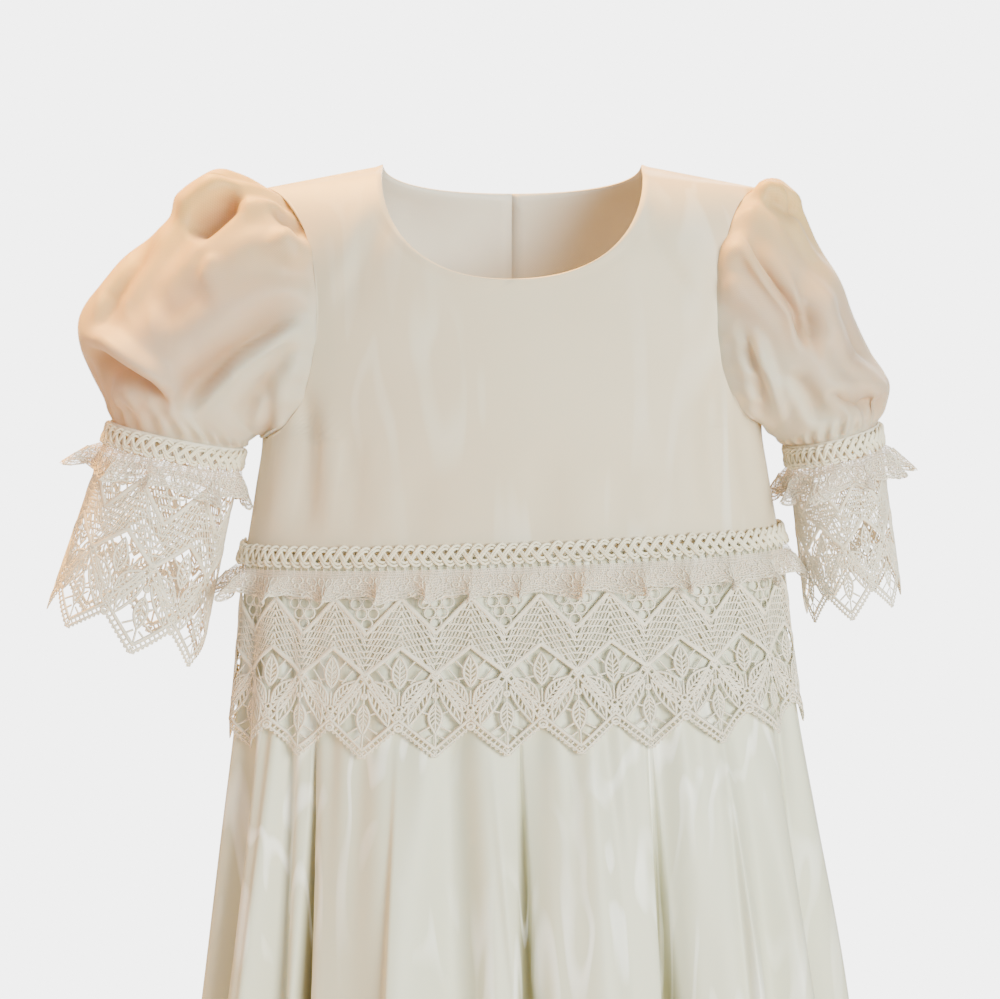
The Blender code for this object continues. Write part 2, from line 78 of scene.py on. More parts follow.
# z, half width, depth in front, depth behind, depth of the folds, lean to the right
skirtRows = [
    (-0.167, 0.1195, 0.052, 0.049, 0.0006, 0.000),
    (-0.235, 0.1250, 0.064, 0.060, 0.0035, 0.001),
    (-0.300, 0.1325, 0.077, 0.071, 0.0080, 0.003),
    (-0.380, 0.1420, 0.090, 0.082, 0.0125, 0.005),
    (-0.500, 0.1570, 0.104, 0.095, 0.0170, 0.006),
    (-0.640, 0.1730, 0.118, 0.107, 0.0210, 0.007),
    (-0.760, 0.1850, 0.128, 0.116, 0.0240, 0.008),
]

# turn round the waist in degrees, drift down to the hem, half width, share of the depth
skirtFolds = [
    (192, -2, 5.0, 0.45), (201, -3, 3.6, -0.80), (210, -2, 5.0, 0.50), (218, -1, 3.4, -0.70),
    (225.6, 0, 2.6, -0.55), (243, 9, 7.0, 0.50), (257, 4, 5.5, -0.45), (264, 1, 3.6, 0.45),
    (270.5, 1, 2.6, -0.40), (283, 2, 5.0, 0.45), (298.4, 1, 2.6, -0.50), (310, 2, 6.0, 0.35),
    (320, 1, 4.0, -0.40), (328, 2, 4.5, 0.50), (340, 2, 4.0, -0.60), (351, 1, 5.0, 0.40),
    (15, 2, 4.5, -0.70), (30, 3, 6.0, 0.45), (46, 1, 3.2, -0.90), (62, -2, 6.5, 0.50),
    (77, 0, 3.4, -0.65), (92, 3, 5.5, 0.45), (106, 1, 3.0, -1.00), (124, -3, 7.0, 0.45),
    (138, -1, 3.4, -0.75), (150, 1, 5.0, 0.40), (163, 2, 4.0, -0.65),
]

# A sleeve is a fan of ovals about the underarm: turn from straight up, inner reach, outer
# reach, half depth. Its sweeps are degrees round, slant, start, end, half width, depth.
arms = {
    "left": {
        "side": -1, "pivotX": 0.110, "pivotZ": -0.128,
        "fans": [
            (0, 0.0100, 0.1180, 0.036), (10, 0.0090, 0.1265, 0.044), (24, 0.0085, 0.1120, 0.050),
            (39, 0.0085, 0.1060, 0.052), (54, 0.0090, 0.1030, 0.050), (63, 0.0098, 0.0905, 0.044),
            (71, 0.0105, 0.0760, 0.035), (78, 0.0115, 0.0705, 0.028),
        ],
        "sweeps": [
            (20, 30, 0.0, 0.55, 11, -0.0055), (62, -20, 0.1, 1.0, 14, -0.0045),
            (104, 26, 0.25, 1.0, 13, -0.0050), (325, -24, 0.0, 0.7, 13, -0.0050),
            (268, 18, 0.2, 1.0, 15, -0.0045),
        ],
        "lean": 0.28, "flare": 0.0065, "length": 0.096, "droop": 0.055,
    },
    "right": {
        "side": 1, "pivotX": 0.110, "pivotZ": -0.128,
        "fans": [
            (0, 0.0100, 0.1180, 0.036), (4, 0.0100, 0.1215, 0.042), (8, 0.0100, 0.1150, 0.046),
            (16, 0.0100, 0.0960, 0.050), (33, 0.0100, 0.0760, 0.051), (48, 0.0105, 0.0680, 0.049),
            (61, 0.0110, 0.0665, 0.045), (69, 0.0125, 0.0600, 0.041), (75, 0.0145, 0.0550, 0.037),
        ],
        "sweeps": [
            (38, -14, 0.0, 0.8, 12, -0.0045), (74, -18, 0.1, 1.0, 12, -0.0050),
            (118, -22, 0.3, 1.0, 12, -0.0045), (322, 16, 0.0, 0.8, 13, -0.0050),
            (262, 20, 0.2, 1.0, 14, -0.0045),
        ],
        "lean": 0.135, "flare": 0.0010, "length": 0.080, "droop": 0.0,
    },
}


def readRow(rows, where):
    # the row at a value of the first column, on smooth curves through the table
    rows = sorted(rows)
    keys = [row[0] for row in rows]
    where = min(max(where, keys[0]), keys[-1])
    low = min(sum(key <= where for key in keys) - 1, len(rows) - 2)
    span = keys[low + 1] - keys[low]
    t = (where - keys[low]) / span

    def slope(index, column):
        before, after = max(index - 1, 0), min(index + 1, len(rows) - 1)
        return (rows[after][column] - rows[before][column]) / (keys[after] - keys[before])

    return [(2 * t**3 - 3 * t**2 + 1) * rows[low][c] + (3 * t**2 - 2 * t**3) * rows[low + 1][c]
            + (t**3 - 2 * t**2 + t) * span * slope(low, c)
            + (t**3 - t**2) * span * slope(low + 1, c) for c in range(len(rows[0]))]


def ease(value, low, high):
    t = min(max((value - low) / (high - low), 0), 1)
    return t * t * (3 - 2 * t)


def hang(x, y, z):
    share = ease(-z, cut["tiltStart"], cut["tiltFull"])
    share *= 1 - ease(-z, cut["tiltFade"], -cut["hemZ"])
    return Vector((x, y, z + cut["tilt"] * x * share))


def ovalDepth(x, width):
    return (1 - min(1, abs(x) / width) ** cut["square"]) ** (1 / cut["square"])


def shoulderHeight(x):
    return (cut["neckX"] - abs(x)) * cut["tipZ"] / (cut["neckX"] - cut["tipX"])


def bodyPoint(x, z, back):
    _, width, front, behind = readRow(torsoRows, z)
    reach = behind if back else front
    drop = min(max((shoulderHeight(x) - z) / cut["shoulderRound"], 0), 1)
    depth = reach * ovalDepth(x, width) * sqrt(1 - (1 - drop) ** 2)
    return hang(x, depth + cut["gap"] / 4 if back else -depth - cut["gap"] / 4, z)


def armholeEdge(rise, side, back):
    scoop = cut["scoopBack"] if back else cut["scoopLeft"] if side < 0 else cut["scoopRight"]
    reach = readRow(torsoRows, cut["underarmZ"])[1] * (1 - rise) + cut["tipX"] * rise
    middle = (cut["tipZ"] + cut["underarmZ"]) / 2
    half = (cut["tipZ"] - cut["underarmZ"]) / 2
    return side * (reach - scoop * sin(pi * rise)), middle - half * cos(pi * rise)


def neckEdge(share, back):
    drop = cut["neckBack"] if back else cut["neckFront"]
    x = cut["neckX"] * sin(share * pi / 2)
    return x, -drop * ovalDepth(x, cut["neckX"])


def bodicePoint(across, rise, side, back):
    if rise <= 0:
        z = cut["underarmZ"] + rise * (cut["underarmZ"] - cut["waistZ"])
        outer = side * readRow(torsoRows, z)[1], z
        inner = 0, z
    elif rise <= 0.5:
        bottom = neckEdge(0, back)[1]
        outer = armholeEdge(rise, side, back)
        inner = 0, cut["underarmZ"] + rise * 2 * (bottom - cut["underarmZ"])
    else:
        x, z = neckEdge(rise * 2 - 1, back)
        outer = armholeEdge(rise, side, back)
        inner = side * x, z
    share = sin(pi / 2 * (1 - across))
    x = inner[0] + (outer[0] - inner[0]) * share
    z = inner[1] + (outer[1] - inner[1]) * share
    return bodyPoint(x, z, back)


def turnedBy(turn, place, drift, z):
    # degrees round the waist from a fold that drifts down to the hem, and the way down, 0 to 1
    down = (cut["waistZ"] - z) / (cut["waistZ"] - cut["hemZ"])
    return (turn - place - drift * down + 180) % 360 - 180, down


def foldAt(turn, z):
    total = 0
    for place, drift, half, share in skirtFolds:
        away, _ = turnedBy(turn, place, drift, z)
        total += share * exp(-(away / half) ** 2)
    return total


def skirtPoint(turn, z, lift=0.0):
    _, width, front, behind, fold, shift = readRow(skirtRows, z)
    angle = radians(turn)
    x = width * cos(angle)
    reach = behind if sin(angle) >= 0 else front
    y = reach * ovalDepth(x, width) * (1 if sin(angle) >= 0 else -1)
    outward = Vector((x / width**2, y / reach**2, 0)).normalized()
    outward *= fold * foldAt(turn, z) + lift
    return hang(x + outward.x + shift, y + outward.y, z)


def fanCentre(arm, along):
    turn, inner, outer, _ = readRow(arm["fans"], arm["fans"][-1][0] * along)
    reach = (inner + outer) / 2
    x = arm["side"] * (arm["pivotX"] + reach * sin(radians(turn)))
    return Vector((x, 0, arm["pivotZ"] + reach * cos(radians(turn))))


def sleevePoint(around, along, arm):
    turn, inner, outer, depth = readRow(arm["fans"], arm["fans"][-1][0] * along)
    turn, spin, side = radians(turn), radians(around), arm["side"]
    reach = (inner + outer) / 2 + (outer - inner) / 2 * cos(spin)
    point = Vector((side * (arm["pivotX"] + reach * sin(turn)), -depth * sin(spin),
                    arm["pivotZ"] + reach * cos(turn)))
    centre = fanCentre(arm, along)
    for place, slant, start, end, half, deep in arm["sweeps"]:
        share = (along - start) / (end - start)
        if 0 < share < 1:
            away = (around - place - slant * share + 180) % 360 - 180
            size = deep * sin(pi * share) * exp(-(away / half) ** 2)
            point += (point - centre).normalized() * size
    # the first ring follows the armhole
    rise = 1 - (around if around <= 180 else 360 - around) / 180
    edgeX, edgeZ = armholeEdge(rise, side, around > 180)
    edge = bodyPoint(edgeX, edgeZ, around > 180)
    middle = Vector((edge.x, 0, (cut["tipZ"] + cut["underarmZ"]) / 2))
    edge += (middle - edge).normalized() * cut["armholeGap"]
    edge.x += side * cut["armholeGap"]
    _, inner, outer, depth = arm["fans"][0]
    start = (inner + outer) / 2 + (outer - inner) / 2 * cos(spin)
    start = Vector((side * arm["pivotX"], -depth * sin(spin), arm["pivotZ"] + start))
    return point + (edge - start) * (1 - ease(along, 0, cut["sleeveHead"]))


def cuffPoint(around, down, arm, lift=0.0):
    rim = sleevePoint(around, 1, arm)
    _, inner, outer, depth = arm["fans"][-1]
    half = (outer - inner) / 2
    outward = rim - fanCentre(arm, 1)
    outward = Vector((outward.x / half**2, outward.y / depth**2, outward.z / half**2))
    outward.normalize()
    lean = Vector((arm["side"] * arm["lean"], 0, -1)).normalized()
    return rim + lean * down + outward * (lift + arm["flare"] * down / arm["length"])


def sheetOf(columns, rows, flat, place):
    # a grid carried onto place(across, up), both 0 to 1, with a UV map in metres
    bm = bmesh.new()
    bmesh.ops.create_grid(bm, x_segments=columns, y_segments=rows, size=0.5)
    clothMap = bm.loops.layers.uv.new("cloth")
    for face in bm.faces:
        for loop in face.loops:
            spot = loop.vert.co
            loop[clothMap].uv = ((spot.x + 0.5) * flat[0], (spot.y + 0.5) * flat[1])
    for vert in bm.verts:
        vert.co = place(vert.co.x + 0.5, vert.co.y + 0.5)
    bmesh.ops.remove_doubles(bm, verts=bm.verts, dist=1e-6)
    bm.normal_update()
    return bm


def stitchPiece(name, bm, finishes, replaced, wall=0.0, lined=False):
    mesh = meshOf(bm)
    mesh.name = name
    mesh.shade_smooth()
    for look in finishes:
        mesh.materials.append(look)
    piece = placed(name, mesh)
    if wall:
        thick = piece.modifiers.new("wall", "SOLIDIFY")
        thick.thickness = wall
        thick.offset = -1
        thick.material_offset = 1 if lined else 0
    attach(piece, "root")
    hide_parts(*replaced)
    return piece


def stitchTrim(name, bm, finishes, node):
    piece = stitchPiece(name, bm, finishes, [node])
    tell(piece)
    return piece


def tell(piece):
    faces = piece.data.polygons
    print(piece.name, "triangles", sum(len(face.vertices) - 2 for face in faces),
          "area", round(sum(face.area for face in faces), 4))


def bmeshOf(mesh):
    # a bmesh of a mesh that isn't needed afterwards
    bm = bmesh.new()
    bm.from_mesh(mesh)
    bpy.data.meshes.remove(mesh)
    return bm


def meshOf(bm):
    mesh = bpy.data.meshes.new("part")
    bm.to_mesh(mesh)
    bm.free()
    return mesh


def joinMesh(bm, mesh, materialIndex=0):
    start = len(bm.faces)
    bm.from_mesh(mesh)
    bpy.data.meshes.remove(mesh)
    bm.faces.ensure_lookup_table()
    for face in bm.faces[start:]:
        face.material_index = materialIndex


def placed(name, data):
    holder = bpy.data.objects.new(name, data)
    bpy.context.scene.collection.objects.link(holder)
    return holder


# one of the levels is the crease depth at which the painted shade is full
crease = {"fade": 0.3, "steepen": 1.1, "soften": 0.8, "lipAt": 2.1, "lipWide": 1.1, "lipHigh": 0.8,
          "fullPaintedShade": 0.006, "turnsFrom": -0.15, "turnsTo": 0.25}


def creaseLifts(points, creases):
    # creases are soft troughs and ridges along short paths, seen from the front or back; the
    # steeper side, by the lean's sign, is narrow and ends in a raised lip
    lifts = np.zeros(len(points))
    for path, half, depth, lean in creases:
        path = np.array(path)
        steps = np.linalg.norm(path[1:] - path[:-1], axis=1)
        best = np.full(len(points), 1e9)
        side = np.zeros(len(points))
        travel = np.zeros(len(points))
        for index, step in enumerate(steps):
            start, run = path[index], path[index + 1] - path[index]
            t = np.clip((points - start) @ run / step**2, 0, 1)
            away = points - start - t[:, None] * run
            far = np.linalg.norm(away, axis=1)
            near = far < best
            best = np.where(near, far, best)
            side = np.where(near, run[0] * away[:, 1] - run[1] * away[:, 0], side)
            travel = np.where(near, steps[:index].sum() + t * step, travel)
        share = travel / steps.sum()
        fade = np.clip(share / crease["fade"], 0, 1) * np.clip((1 - share) / crease["fade"], 0, 1)
        fade = fade * fade * (3 - 2 * fade)
        steep = side * lean < 0
        width = half * np.where(steep, 1 - crease["steepen"] * abs(lean),
                                1 + crease["soften"] * abs(lean))
        beyond = (best - crease["lipAt"] * width) / (crease["lipWide"] * width)
        lip = crease["lipHigh"] * steep * abs(lean) * np.exp(-beyond ** 2)
        lifts += depth * fade * (np.exp(-(best / width) ** 2) - lip)
    return lifts


def pressCreases(bm, front, back, deepen):
    # the attribute keeps how deep each spot lies; the sleeve and skirt finishes darken deep spots
    # by it as painted shade in the creases
    bm.normal_update()
    paintedShade = bm.verts.layers.float.new("paintedShade")
    verts = list(bm.verts)
    spots = np.array([(v.co.x, v.co.z) for v in verts])
    frontLifts, backLifts = creaseLifts(spots, front), creaseLifts(spots, back)
    for vert, ahead, behind in zip(verts, frontLifts, backLifts):
        facing = ease(-vert.normal.y, crease["turnsFrom"], crease["turnsTo"])
        away = ease(vert.normal.y, crease["turnsFrom"], crease["turnsTo"])
        lift = deepen * (ahead * facing + behind * away)
        vert.co += vert.normal * lift
        vert[paintedShade] = min(1.0, max(0.0, -lift / crease["fullPaintedShade"]))
    bm.normal_update()


def surfaceGrid(place, columns, rows):
    # samples a ring-shaped surface once, so that trims can be laid on it quickly
    spots = np.array([[place(c / columns, r / rows) for r in range(rows + 1)]
                      for c in range(columns)])
    around = (np.roll(spots, -1, axis=0) - np.roll(spots, 1, axis=0))
    upward = np.gradient(spots, axis=1)
    normals = np.cross(around, upward)
    normals /= np.linalg.norm(normals, axis=2)[..., None]

    def lay(across, up, lift):
        c = (np.asarray(across) % 1) * columns
        r = np.clip(np.asarray(up), 0, 1) * rows
        c0, r0 = np.floor(c).astype(int), np.minimum(np.floor(r).astype(int), rows - 1)
        fc, fr = (c - c0)[..., None], (r - r0)[..., None]
        c0 %= columns
        c1 = (c0 + 1) % columns

        def mix(grid):
            low = grid[c0, r0] * (1 - fc) + grid[c1, r0] * fc
            high = grid[c0, r0 + 1] * (1 - fc) + grid[c1, r0 + 1] * fc
            return low * (1 - fr) + high * fr

        out = mix(normals)
        return mix(spots) + out * np.asarray(lift)[..., None]

    return lay


def threadMesh(paths, sides):
    # paths of (points, radius, closed) become round cords, swept as curves
    curve = bpy.data.curves.new("threads", "CURVE")
    curve.dimensions = "3D"
    curve.bevel_depth = 1.0
    curve.bevel_resolution = (sides - 4) // 2
    curve.use_fill_caps = True
    for points, radius, closed in paths:
        line = curve.splines.new("POLY")
        line.points.add(len(points) - 1)
        for slot, spot in zip(line.points, points):
            spot = tuple(spot)
            slot.co = (spot[0], spot[1], spot[2] if len(spot) > 2 else 0, 1)
            slot.radius = radius
        line.use_cyclic_u = closed
    holder = placed("threads", curve)
    bpy.context.view_layer.update()
    mesh = bpy.data.meshes.new_from_object(
        holder.evaluated_get(bpy.context.evaluated_depsgraph_get()))
    bpy.data.objects.remove(holder)
    bpy.data.curves.remove(curve)
    return mesh


def resample(points, step):
    # a path resampled at about that step, through the same corners
    made = []
    for start, end in zip(points[:-1], points[1:]):
        start, end = Vector(start), Vector(end)
        count = max(1, round((end - start).length / step))
        made += [start.lerp(end, i / count) for i in range(count)]
    return made + [Vector(points[-1])]


def layRepeats(tile, width, depth, repeats, flatness, lay, height):
    # one flat repeat in millimetres, x across and y down, laid side by side on a surface
    bm = bmeshOf(tile)
    first = bm.verts[:] + bm.edges[:] + bm.faces[:]
    for repeat in range(1, repeats):
        copy = bmesh.ops.duplicate(bm, geom=first)["geom"]
        verts = [item for item in copy if isinstance(item, bmesh.types.BMVert)]
        bmesh.ops.translate(bm, verts=verts, vec=(repeat * width, 0, 0))
    verts = list(bm.verts)
    flat = np.array([v.co[:] for v in verts])
    across = flat[:, 0] / (width * repeats)
    places = lay(across, 1 - flat[:, 1] / depth, height + flat[:, 2] * flatness / 1000)
    for vert, spot in zip(verts, places):
        vert.co = spot
    bmesh.ops.recalc_face_normals(bm, faces=bm.faces)
    return bm


def addNode(tree, kind, links=None, values=None, **settings):
    node = tree.nodes.new(kind)
    for key, value in settings.items():
        setattr(node, key, value)
    for key, value in (values or {}).items():
        node.inputs[key].default_value = value
    for key, socket in (links or {}).items():
        tree.links.new(socket, node.inputs[key])
    return node


def newGroup(name, levels, outputs):
    # every group takes a vector and some levels, and puts out numbers
    group = bpy.data.node_groups.new(name, "ShaderNodeTree")
    group.interface.new_socket("Vector", in_out="INPUT", socket_type="NodeSocketVector")
    for label, value in levels.items():
        socket = group.interface.new_socket(label, in_out="INPUT", socket_type="NodeSocketFloat")
        socket.default_value = value
    for label in outputs:
        group.interface.new_socket(label, in_out="OUTPUT", socket_type="NodeSocketFloat")
    return group, group.nodes.new("NodeGroupInput"), group.nodes.new("NodeGroupOutput")


def maths(tree, operation, first, second=None):
    # each is a socket or a number
    values = {i: v for i, v in enumerate((first, second)) if isinstance(v, (int, float))}
    links = {i: v for i, v in enumerate((first, second)) if v is not None and i not in values}
    return addNode(tree, "ShaderNodeMath", links, values, operation=operation).outputs[0]


def noiseOf(tree, vector, scale, **values):
    return addNode(tree, "ShaderNodeTexNoise", {"Vector": vector, "Scale": scale},
                   values).outputs["Fac"]


def ranged(tree, value, low, high, toLow=0.0, toHigh=1.0, **settings):
    return addNode(tree, "ShaderNodeMapRange", {"Value": value},
                   {"From Min": low, "From Max": high, "To Min": toLow, "To Max": toHigh},
                   **settings).outputs["Result"]


def makeWeaveGroup():
    # plain weave: threads over and under, a pitch in metres
    group, given, made = newGroup("plainWeave", {"Pitch": 0.0005}, ["Height"])
    parts = addNode(group, "ShaderNodeSeparateXYZ", {0: given.outputs["Vector"]})
    turns = maths(group, "DIVIDE", pi, given.outputs["Pitch"])
    waves = [maths(group, "SINE", maths(group, "MULTIPLY", parts.outputs[axis], turns))
             for axis in ("X", "Y")]
    level = scaled(group, maths(group, "MULTIPLY", *waves), 0.5, 0.5)
    group.links.new(level, made.inputs["Height"])
    return group


def makeDriftGroup():
    # slow unevenness of a cloth's colour
    group, given, made = newGroup("slowDrift", {"Scale": 12.0}, ["Mask"])
    cloud = noiseOf(group, given.outputs["Vector"], given.outputs["Scale"], Detail=3.0,
                    Roughness=0.55)
    group.links.new(ranged(group, cloud, 0.35, 0.7), made.inputs["Mask"])
    return group


def makeMoireGroup():
    # the watered grain where a sheer cloth lies over another: broken contour lines that run down
    group, given, made = newGroup("wateredGrain", {"Scale": 30.0, "Lines": 34.0, "Patches": 9.0},
                                  ["Mask"])
    tall = addNode(group, "ShaderNodeMapping", {"Vector": given.outputs["Vector"]})
    tall.inputs["Scale"].default_value = (1.0, 1.0, 0.16)
    field = noiseOf(group, tall.outputs["Vector"], given.outputs["Scale"], Detail=2.0,
                    Distortion=0.4)
    wave = maths(group, "SINE", maths(group, "MULTIPLY", field, given.outputs["Lines"]))
    patch = noiseOf(group, given.outputs["Vector"], given.outputs["Patches"], Detail=2.0)
    mask = maths(group, "MULTIPLY", ranged(group, wave, 0.35, 0.95),
                 ranged(group, patch, 0.42, 0.62))
    group.links.new(mask, made.inputs["Mask"])
    return group


def makeTwistGroup():
    # spun thread: tiny uneven ridges, and a tint that follows them
    group, given, made = newGroup("spunThread", {"Scale": 1900.0}, ["Height", "Tint"])
    vector, scale = given.outputs["Vector"], given.outputs["Scale"]
    slow = noiseOf(group, vector, maths(group, "MULTIPLY", scale, 0.08), Detail=2.0)
    group.links.new(noiseOf(group, vector, scale, Detail=1.0), made.inputs["Height"])
    group.links.new(ranged(group, slow, 0.35, 0.65), made.inputs["Tint"])
    return group


def placeGroup(tree, group, vector, **values):
    return addNode(tree, "ShaderNodeGroup", {"Vector": vector}, values, node_tree=group).outputs


def newLook(name, roughness, levels):
    # a new material, its nodes, its shader and the object's and the cloth's own coordinates
    look = bpy.data.materials.new(name)
    look.use_nodes = True
    tree = look.node_tree
    shader = tree.nodes["Principled BSDF"]
    for label, value in {"Roughness": roughness, **levels}.items():
        shader.inputs[label].default_value = value
    spots = addNode(tree, "ShaderNodeTexCoord").outputs
    return look, tree, shader, spots["Object"], spots["UV"]


def mixColour(tree, factor, first, second):
    # each colour is a socket or three numbers
    node = tree.nodes.new("ShaderNodeMix")
    node.data_type = "RGBA"
    tree.links.new(factor, node.inputs["Factor"])
    for label, colour in (("A", first), ("B", second)):
        socket = [s for s in node.inputs if s.name == label and s.type == "RGBA"][0]
        if isinstance(colour, tuple):
            socket.default_value = (*colour, 1)
        else:
            tree.links.new(colour, socket)
    return [s for s in node.outputs if s.type == "RGBA"][0]


def scaled(tree, socket, factor, offset=0.0):
    return addNode(tree, "ShaderNodeMath", {0: socket}, {1: factor, 2: offset},
                   operation="MULTIPLY_ADD").outputs[0]


def bumped(tree, shader, height, strength, distance):
    bump = addNode(tree, "ShaderNodeBump", {"Height": height},
                   {"Strength": strength, "Distance": distance})
    tree.links.new(bump.outputs["Normal"], shader.inputs["Normal"])


weaveGroup, driftGroup = makeWeaveGroup(), makeDriftGroup()
moireGroup, twistGroup = makeMoireGroup(), makeTwistGroup()


clothLooks = {
    # the olive after ivory is painted shade for the skirt's troughs
    "ivory": (0.69, 0.70, 0.55), "paintedTroughShade": (0.35, 0.33, 0.18), "flecks": (0.95, 0.96, 0.88),
    "cream": (0.73, 0.63, 0.46), "creamShade": (0.62, 0.51, 0.35),
    # the sleeve's deepest colour is painted shade for its creases; the orange on the next line is
    # a painted warm glow
    "sheer": (0.76, 0.56, 0.39), "sheerShade": (0.66, 0.44, 0.29), "sheerPaintedShade": (0.46, 0.24, 0.10),
    "sheerPale": (0.78, 0.70, 0.54), "sheerPaintedGlow": (0.95, 0.60, 0.18),
    "lining": (0.80, 0.76, 0.67), "liningShade": (0.74, 0.69, 0.59),
    "net": (0.86, 0.75, 0.64), "netShade": (0.74, 0.60, 0.47),
    "thread": (0.86, 0.80, 0.67), "threadShade": (0.70, 0.62, 0.48),
    "gimp": (0.92, 0.86, 0.68), "gimpShade": (0.74, 0.65, 0.46),
    "pearl": (0.86, 0.83, 0.76), "pearlShade": (0.80, 0.74, 0.68),
    "weavePitch": 0.00042, "sheerAlpha": 0.66, "netCells": 900.0,
    "threadTwist": 2100.0, "gimpTwist": 1700.0,
}


def driftMask(tree, vector, scale):
    return placeGroup(tree, driftGroup, vector, Scale=scale)["Mask"]


def moireMask(tree, vector, scale, lines, patches):
    return placeGroup(tree, moireGroup, vector, Scale=scale, Lines=lines, Patches=patches)["Mask"]


def weaveHeight(tree, vector):
    return placeGroup(tree, weaveGroup, vector, Pitch=clothLooks["weavePitch"])["Height"]


# reads the crease depth that drives the painted shade
def paintedShadeOf(tree):
    return addNode(tree, "ShaderNodeAttribute", attribute_name="paintedShade").outputs["Fac"]


def makeSatin():
    look, tree, shader, place, cloth = newLook("skirtSatin", 0.42, {
        "Sheen Weight": 0.15, "Specular IOR Level": 0.45, "Anisotropic": 0.3})
    grain = moireMask(tree, place, 34.0, 36.0, 13.0)
    # painted shade: the satin darkens to olive in the troughs of the tucks and folds
    base = mixColour(tree, paintedShadeOf(tree), clothLooks["ivory"], clothLooks["paintedTroughShade"])
    base = mixColour(tree, scaled(tree, driftMask(tree, place, 7.0), 0.12), base,
                     clothLooks["cream"])
    base = mixColour(tree, scaled(tree, grain, 0.85), base, clothLooks["flecks"])
    tree.links.new(base, shader.inputs["Base Color"])
    tree.links.new(scaled(tree, grain, -0.12, 0.46), shader.inputs["Roughness"])
    height = maths(tree, "ADD", scaled(tree, weaveHeight(tree, cloth), 0.35), grain)
    bumped(tree, shader, height, 0.25, 0.0002)
    return look


def makeOrganza():
    look, tree, shader, place, cloth = newLook("bodiceOrganza", 0.55, {
        "Sheen Weight": 0.25, "Specular IOR Level": 0.35})
    grain = moireMask(tree, place, 30.0, 26.0, 14.0)
    base = mixColour(tree, scaled(tree, driftMask(tree, place, 11.0), 0.35), clothLooks["cream"],
                     clothLooks["creamShade"])
    base = mixColour(tree, scaled(tree, grain, 0.30), base, clothLooks["flecks"])
    tree.links.new(base, shader.inputs["Base Color"])
    height = maths(tree, "ADD", scaled(tree, weaveHeight(tree, cloth), 0.5), grain)
    bumped(tree, shader, height, 0.2, 0.00015)
    return look


def makeLining():
    look, tree, shader, place, cloth = newLook("bodiceLining", 0.5, {
        "Sheen Weight": 0.1, "Specular IOR Level": 0.3})
    base = mixColour(tree, driftMask(tree, place, 18.0), clothLooks["lining"],
                     clothLooks["liningShade"])
    tree.links.new(base, shader.inputs["Base Color"])
    bumped(tree, shader, weaveHeight(tree, cloth), 0.2, 0.00015)
    return look


def makeSheer():
    look, tree, shader, place, cloth = newLook("sleeveOrganza", 0.5, {
        "Sheen Weight": 0.3, "Specular IOR Level": 0.35, "Subsurface Weight": 0.35,
        "Subsurface Radius": (1.0, 0.6, 0.35), "Subsurface Scale": 0.004})
    weave = weaveHeight(tree, cloth)
    grain = moireMask(tree, place, 34.0, 22.0, 16.0)
    base = mixColour(tree, scaled(tree, driftMask(tree, place, 14.0), 0.4), clothLooks["sheer"],
                     clothLooks["sheerShade"])
    # painted light: pale under the long slanting crease, painted warm light above it, a painted
    # warm glow at the crown of the puff
    parts = addNode(tree, "ShaderNodeSeparateXYZ", {0: place}).outputs
    outer = maths(tree, "ADD", scaled(tree, maths(tree, "ABSOLUTE", parts["X"]), 0.65),
                  scaled(tree, parts["Z"], 0.76))
    base = mixColour(tree, ranged(tree, outer, 0.006, 0.024), clothLooks["sheerPale"], base)
    # painted warm glow along the upper outline of the puff
    base = mixColour(tree, ranged(tree, outer, 0.048, 0.082, 0.0, 0.9), base,
                     clothLooks["sheerPaintedGlow"])
    # painted warm glow at the top of the puff
    base = mixColour(tree, ranged(tree, parts["Z"], -0.060, -0.008, 0.0, 0.6), base,
                     clothLooks["sheerPaintedGlow"])
    # painted shade in the creases, darker where they sink deeper
    base = mixColour(tree, scaled(tree, paintedShadeOf(tree), 0.6), base, clothLooks["sheerPaintedShade"])
    tree.links.new(base, shader.inputs["Base Color"])
    opaque = maths(tree, "ADD", scaled(tree, weave, 0.1, clothLooks["sheerAlpha"]),
                   scaled(tree, grain, 0.08))
    tree.links.new(opaque, shader.inputs["Alpha"])
    bumped(tree, shader, weave, 0.15, 0.0001)
    return look


def makeThread(name, kind, roughness):
    look, tree, shader, place, _ = newLook(name, roughness, {
        "Sheen Weight": 0.2, "Specular IOR Level": 0.3})
    twist = placeGroup(tree, twistGroup, place, Scale=clothLooks[kind + "Twist"])
    base = mixColour(tree, scaled(tree, twist["Tint"], 0.55), clothLooks[kind],
                     clothLooks[kind + "Shade"])
    tree.links.new(base, shader.inputs["Base Color"])
    bumped(tree, shader, twist["Height"], 0.5, 0.0003)
    return look


def makeNetting():
    # fine netting: uneven holes between threads, cut by alpha on the UV map
    look, tree, shader, place, cloth = newLook("ruffleNetting", 0.6, {
        "Sheen Weight": 0.2, "Specular IOR Level": 0.3})
    cells = addNode(tree, "ShaderNodeTexVoronoi", {"Vector": cloth},
                    {"Scale": clothLooks["netCells"], "Randomness": 0.35},
                    feature="DISTANCE_TO_EDGE")
    solid = ranged(tree, cells.outputs["Distance"], 0.09, 0.17, 0.95, 0.30)
    base = mixColour(tree, scaled(tree, driftMask(tree, place, 60.0), 0.6), clothLooks["net"],
                     clothLooks["netShade"])
    tree.links.new(base, shader.inputs["Base Color"])
    tree.links.new(solid, shader.inputs["Alpha"])
    bumped(tree, shader, solid, 0.4, 0.0002)
    return look


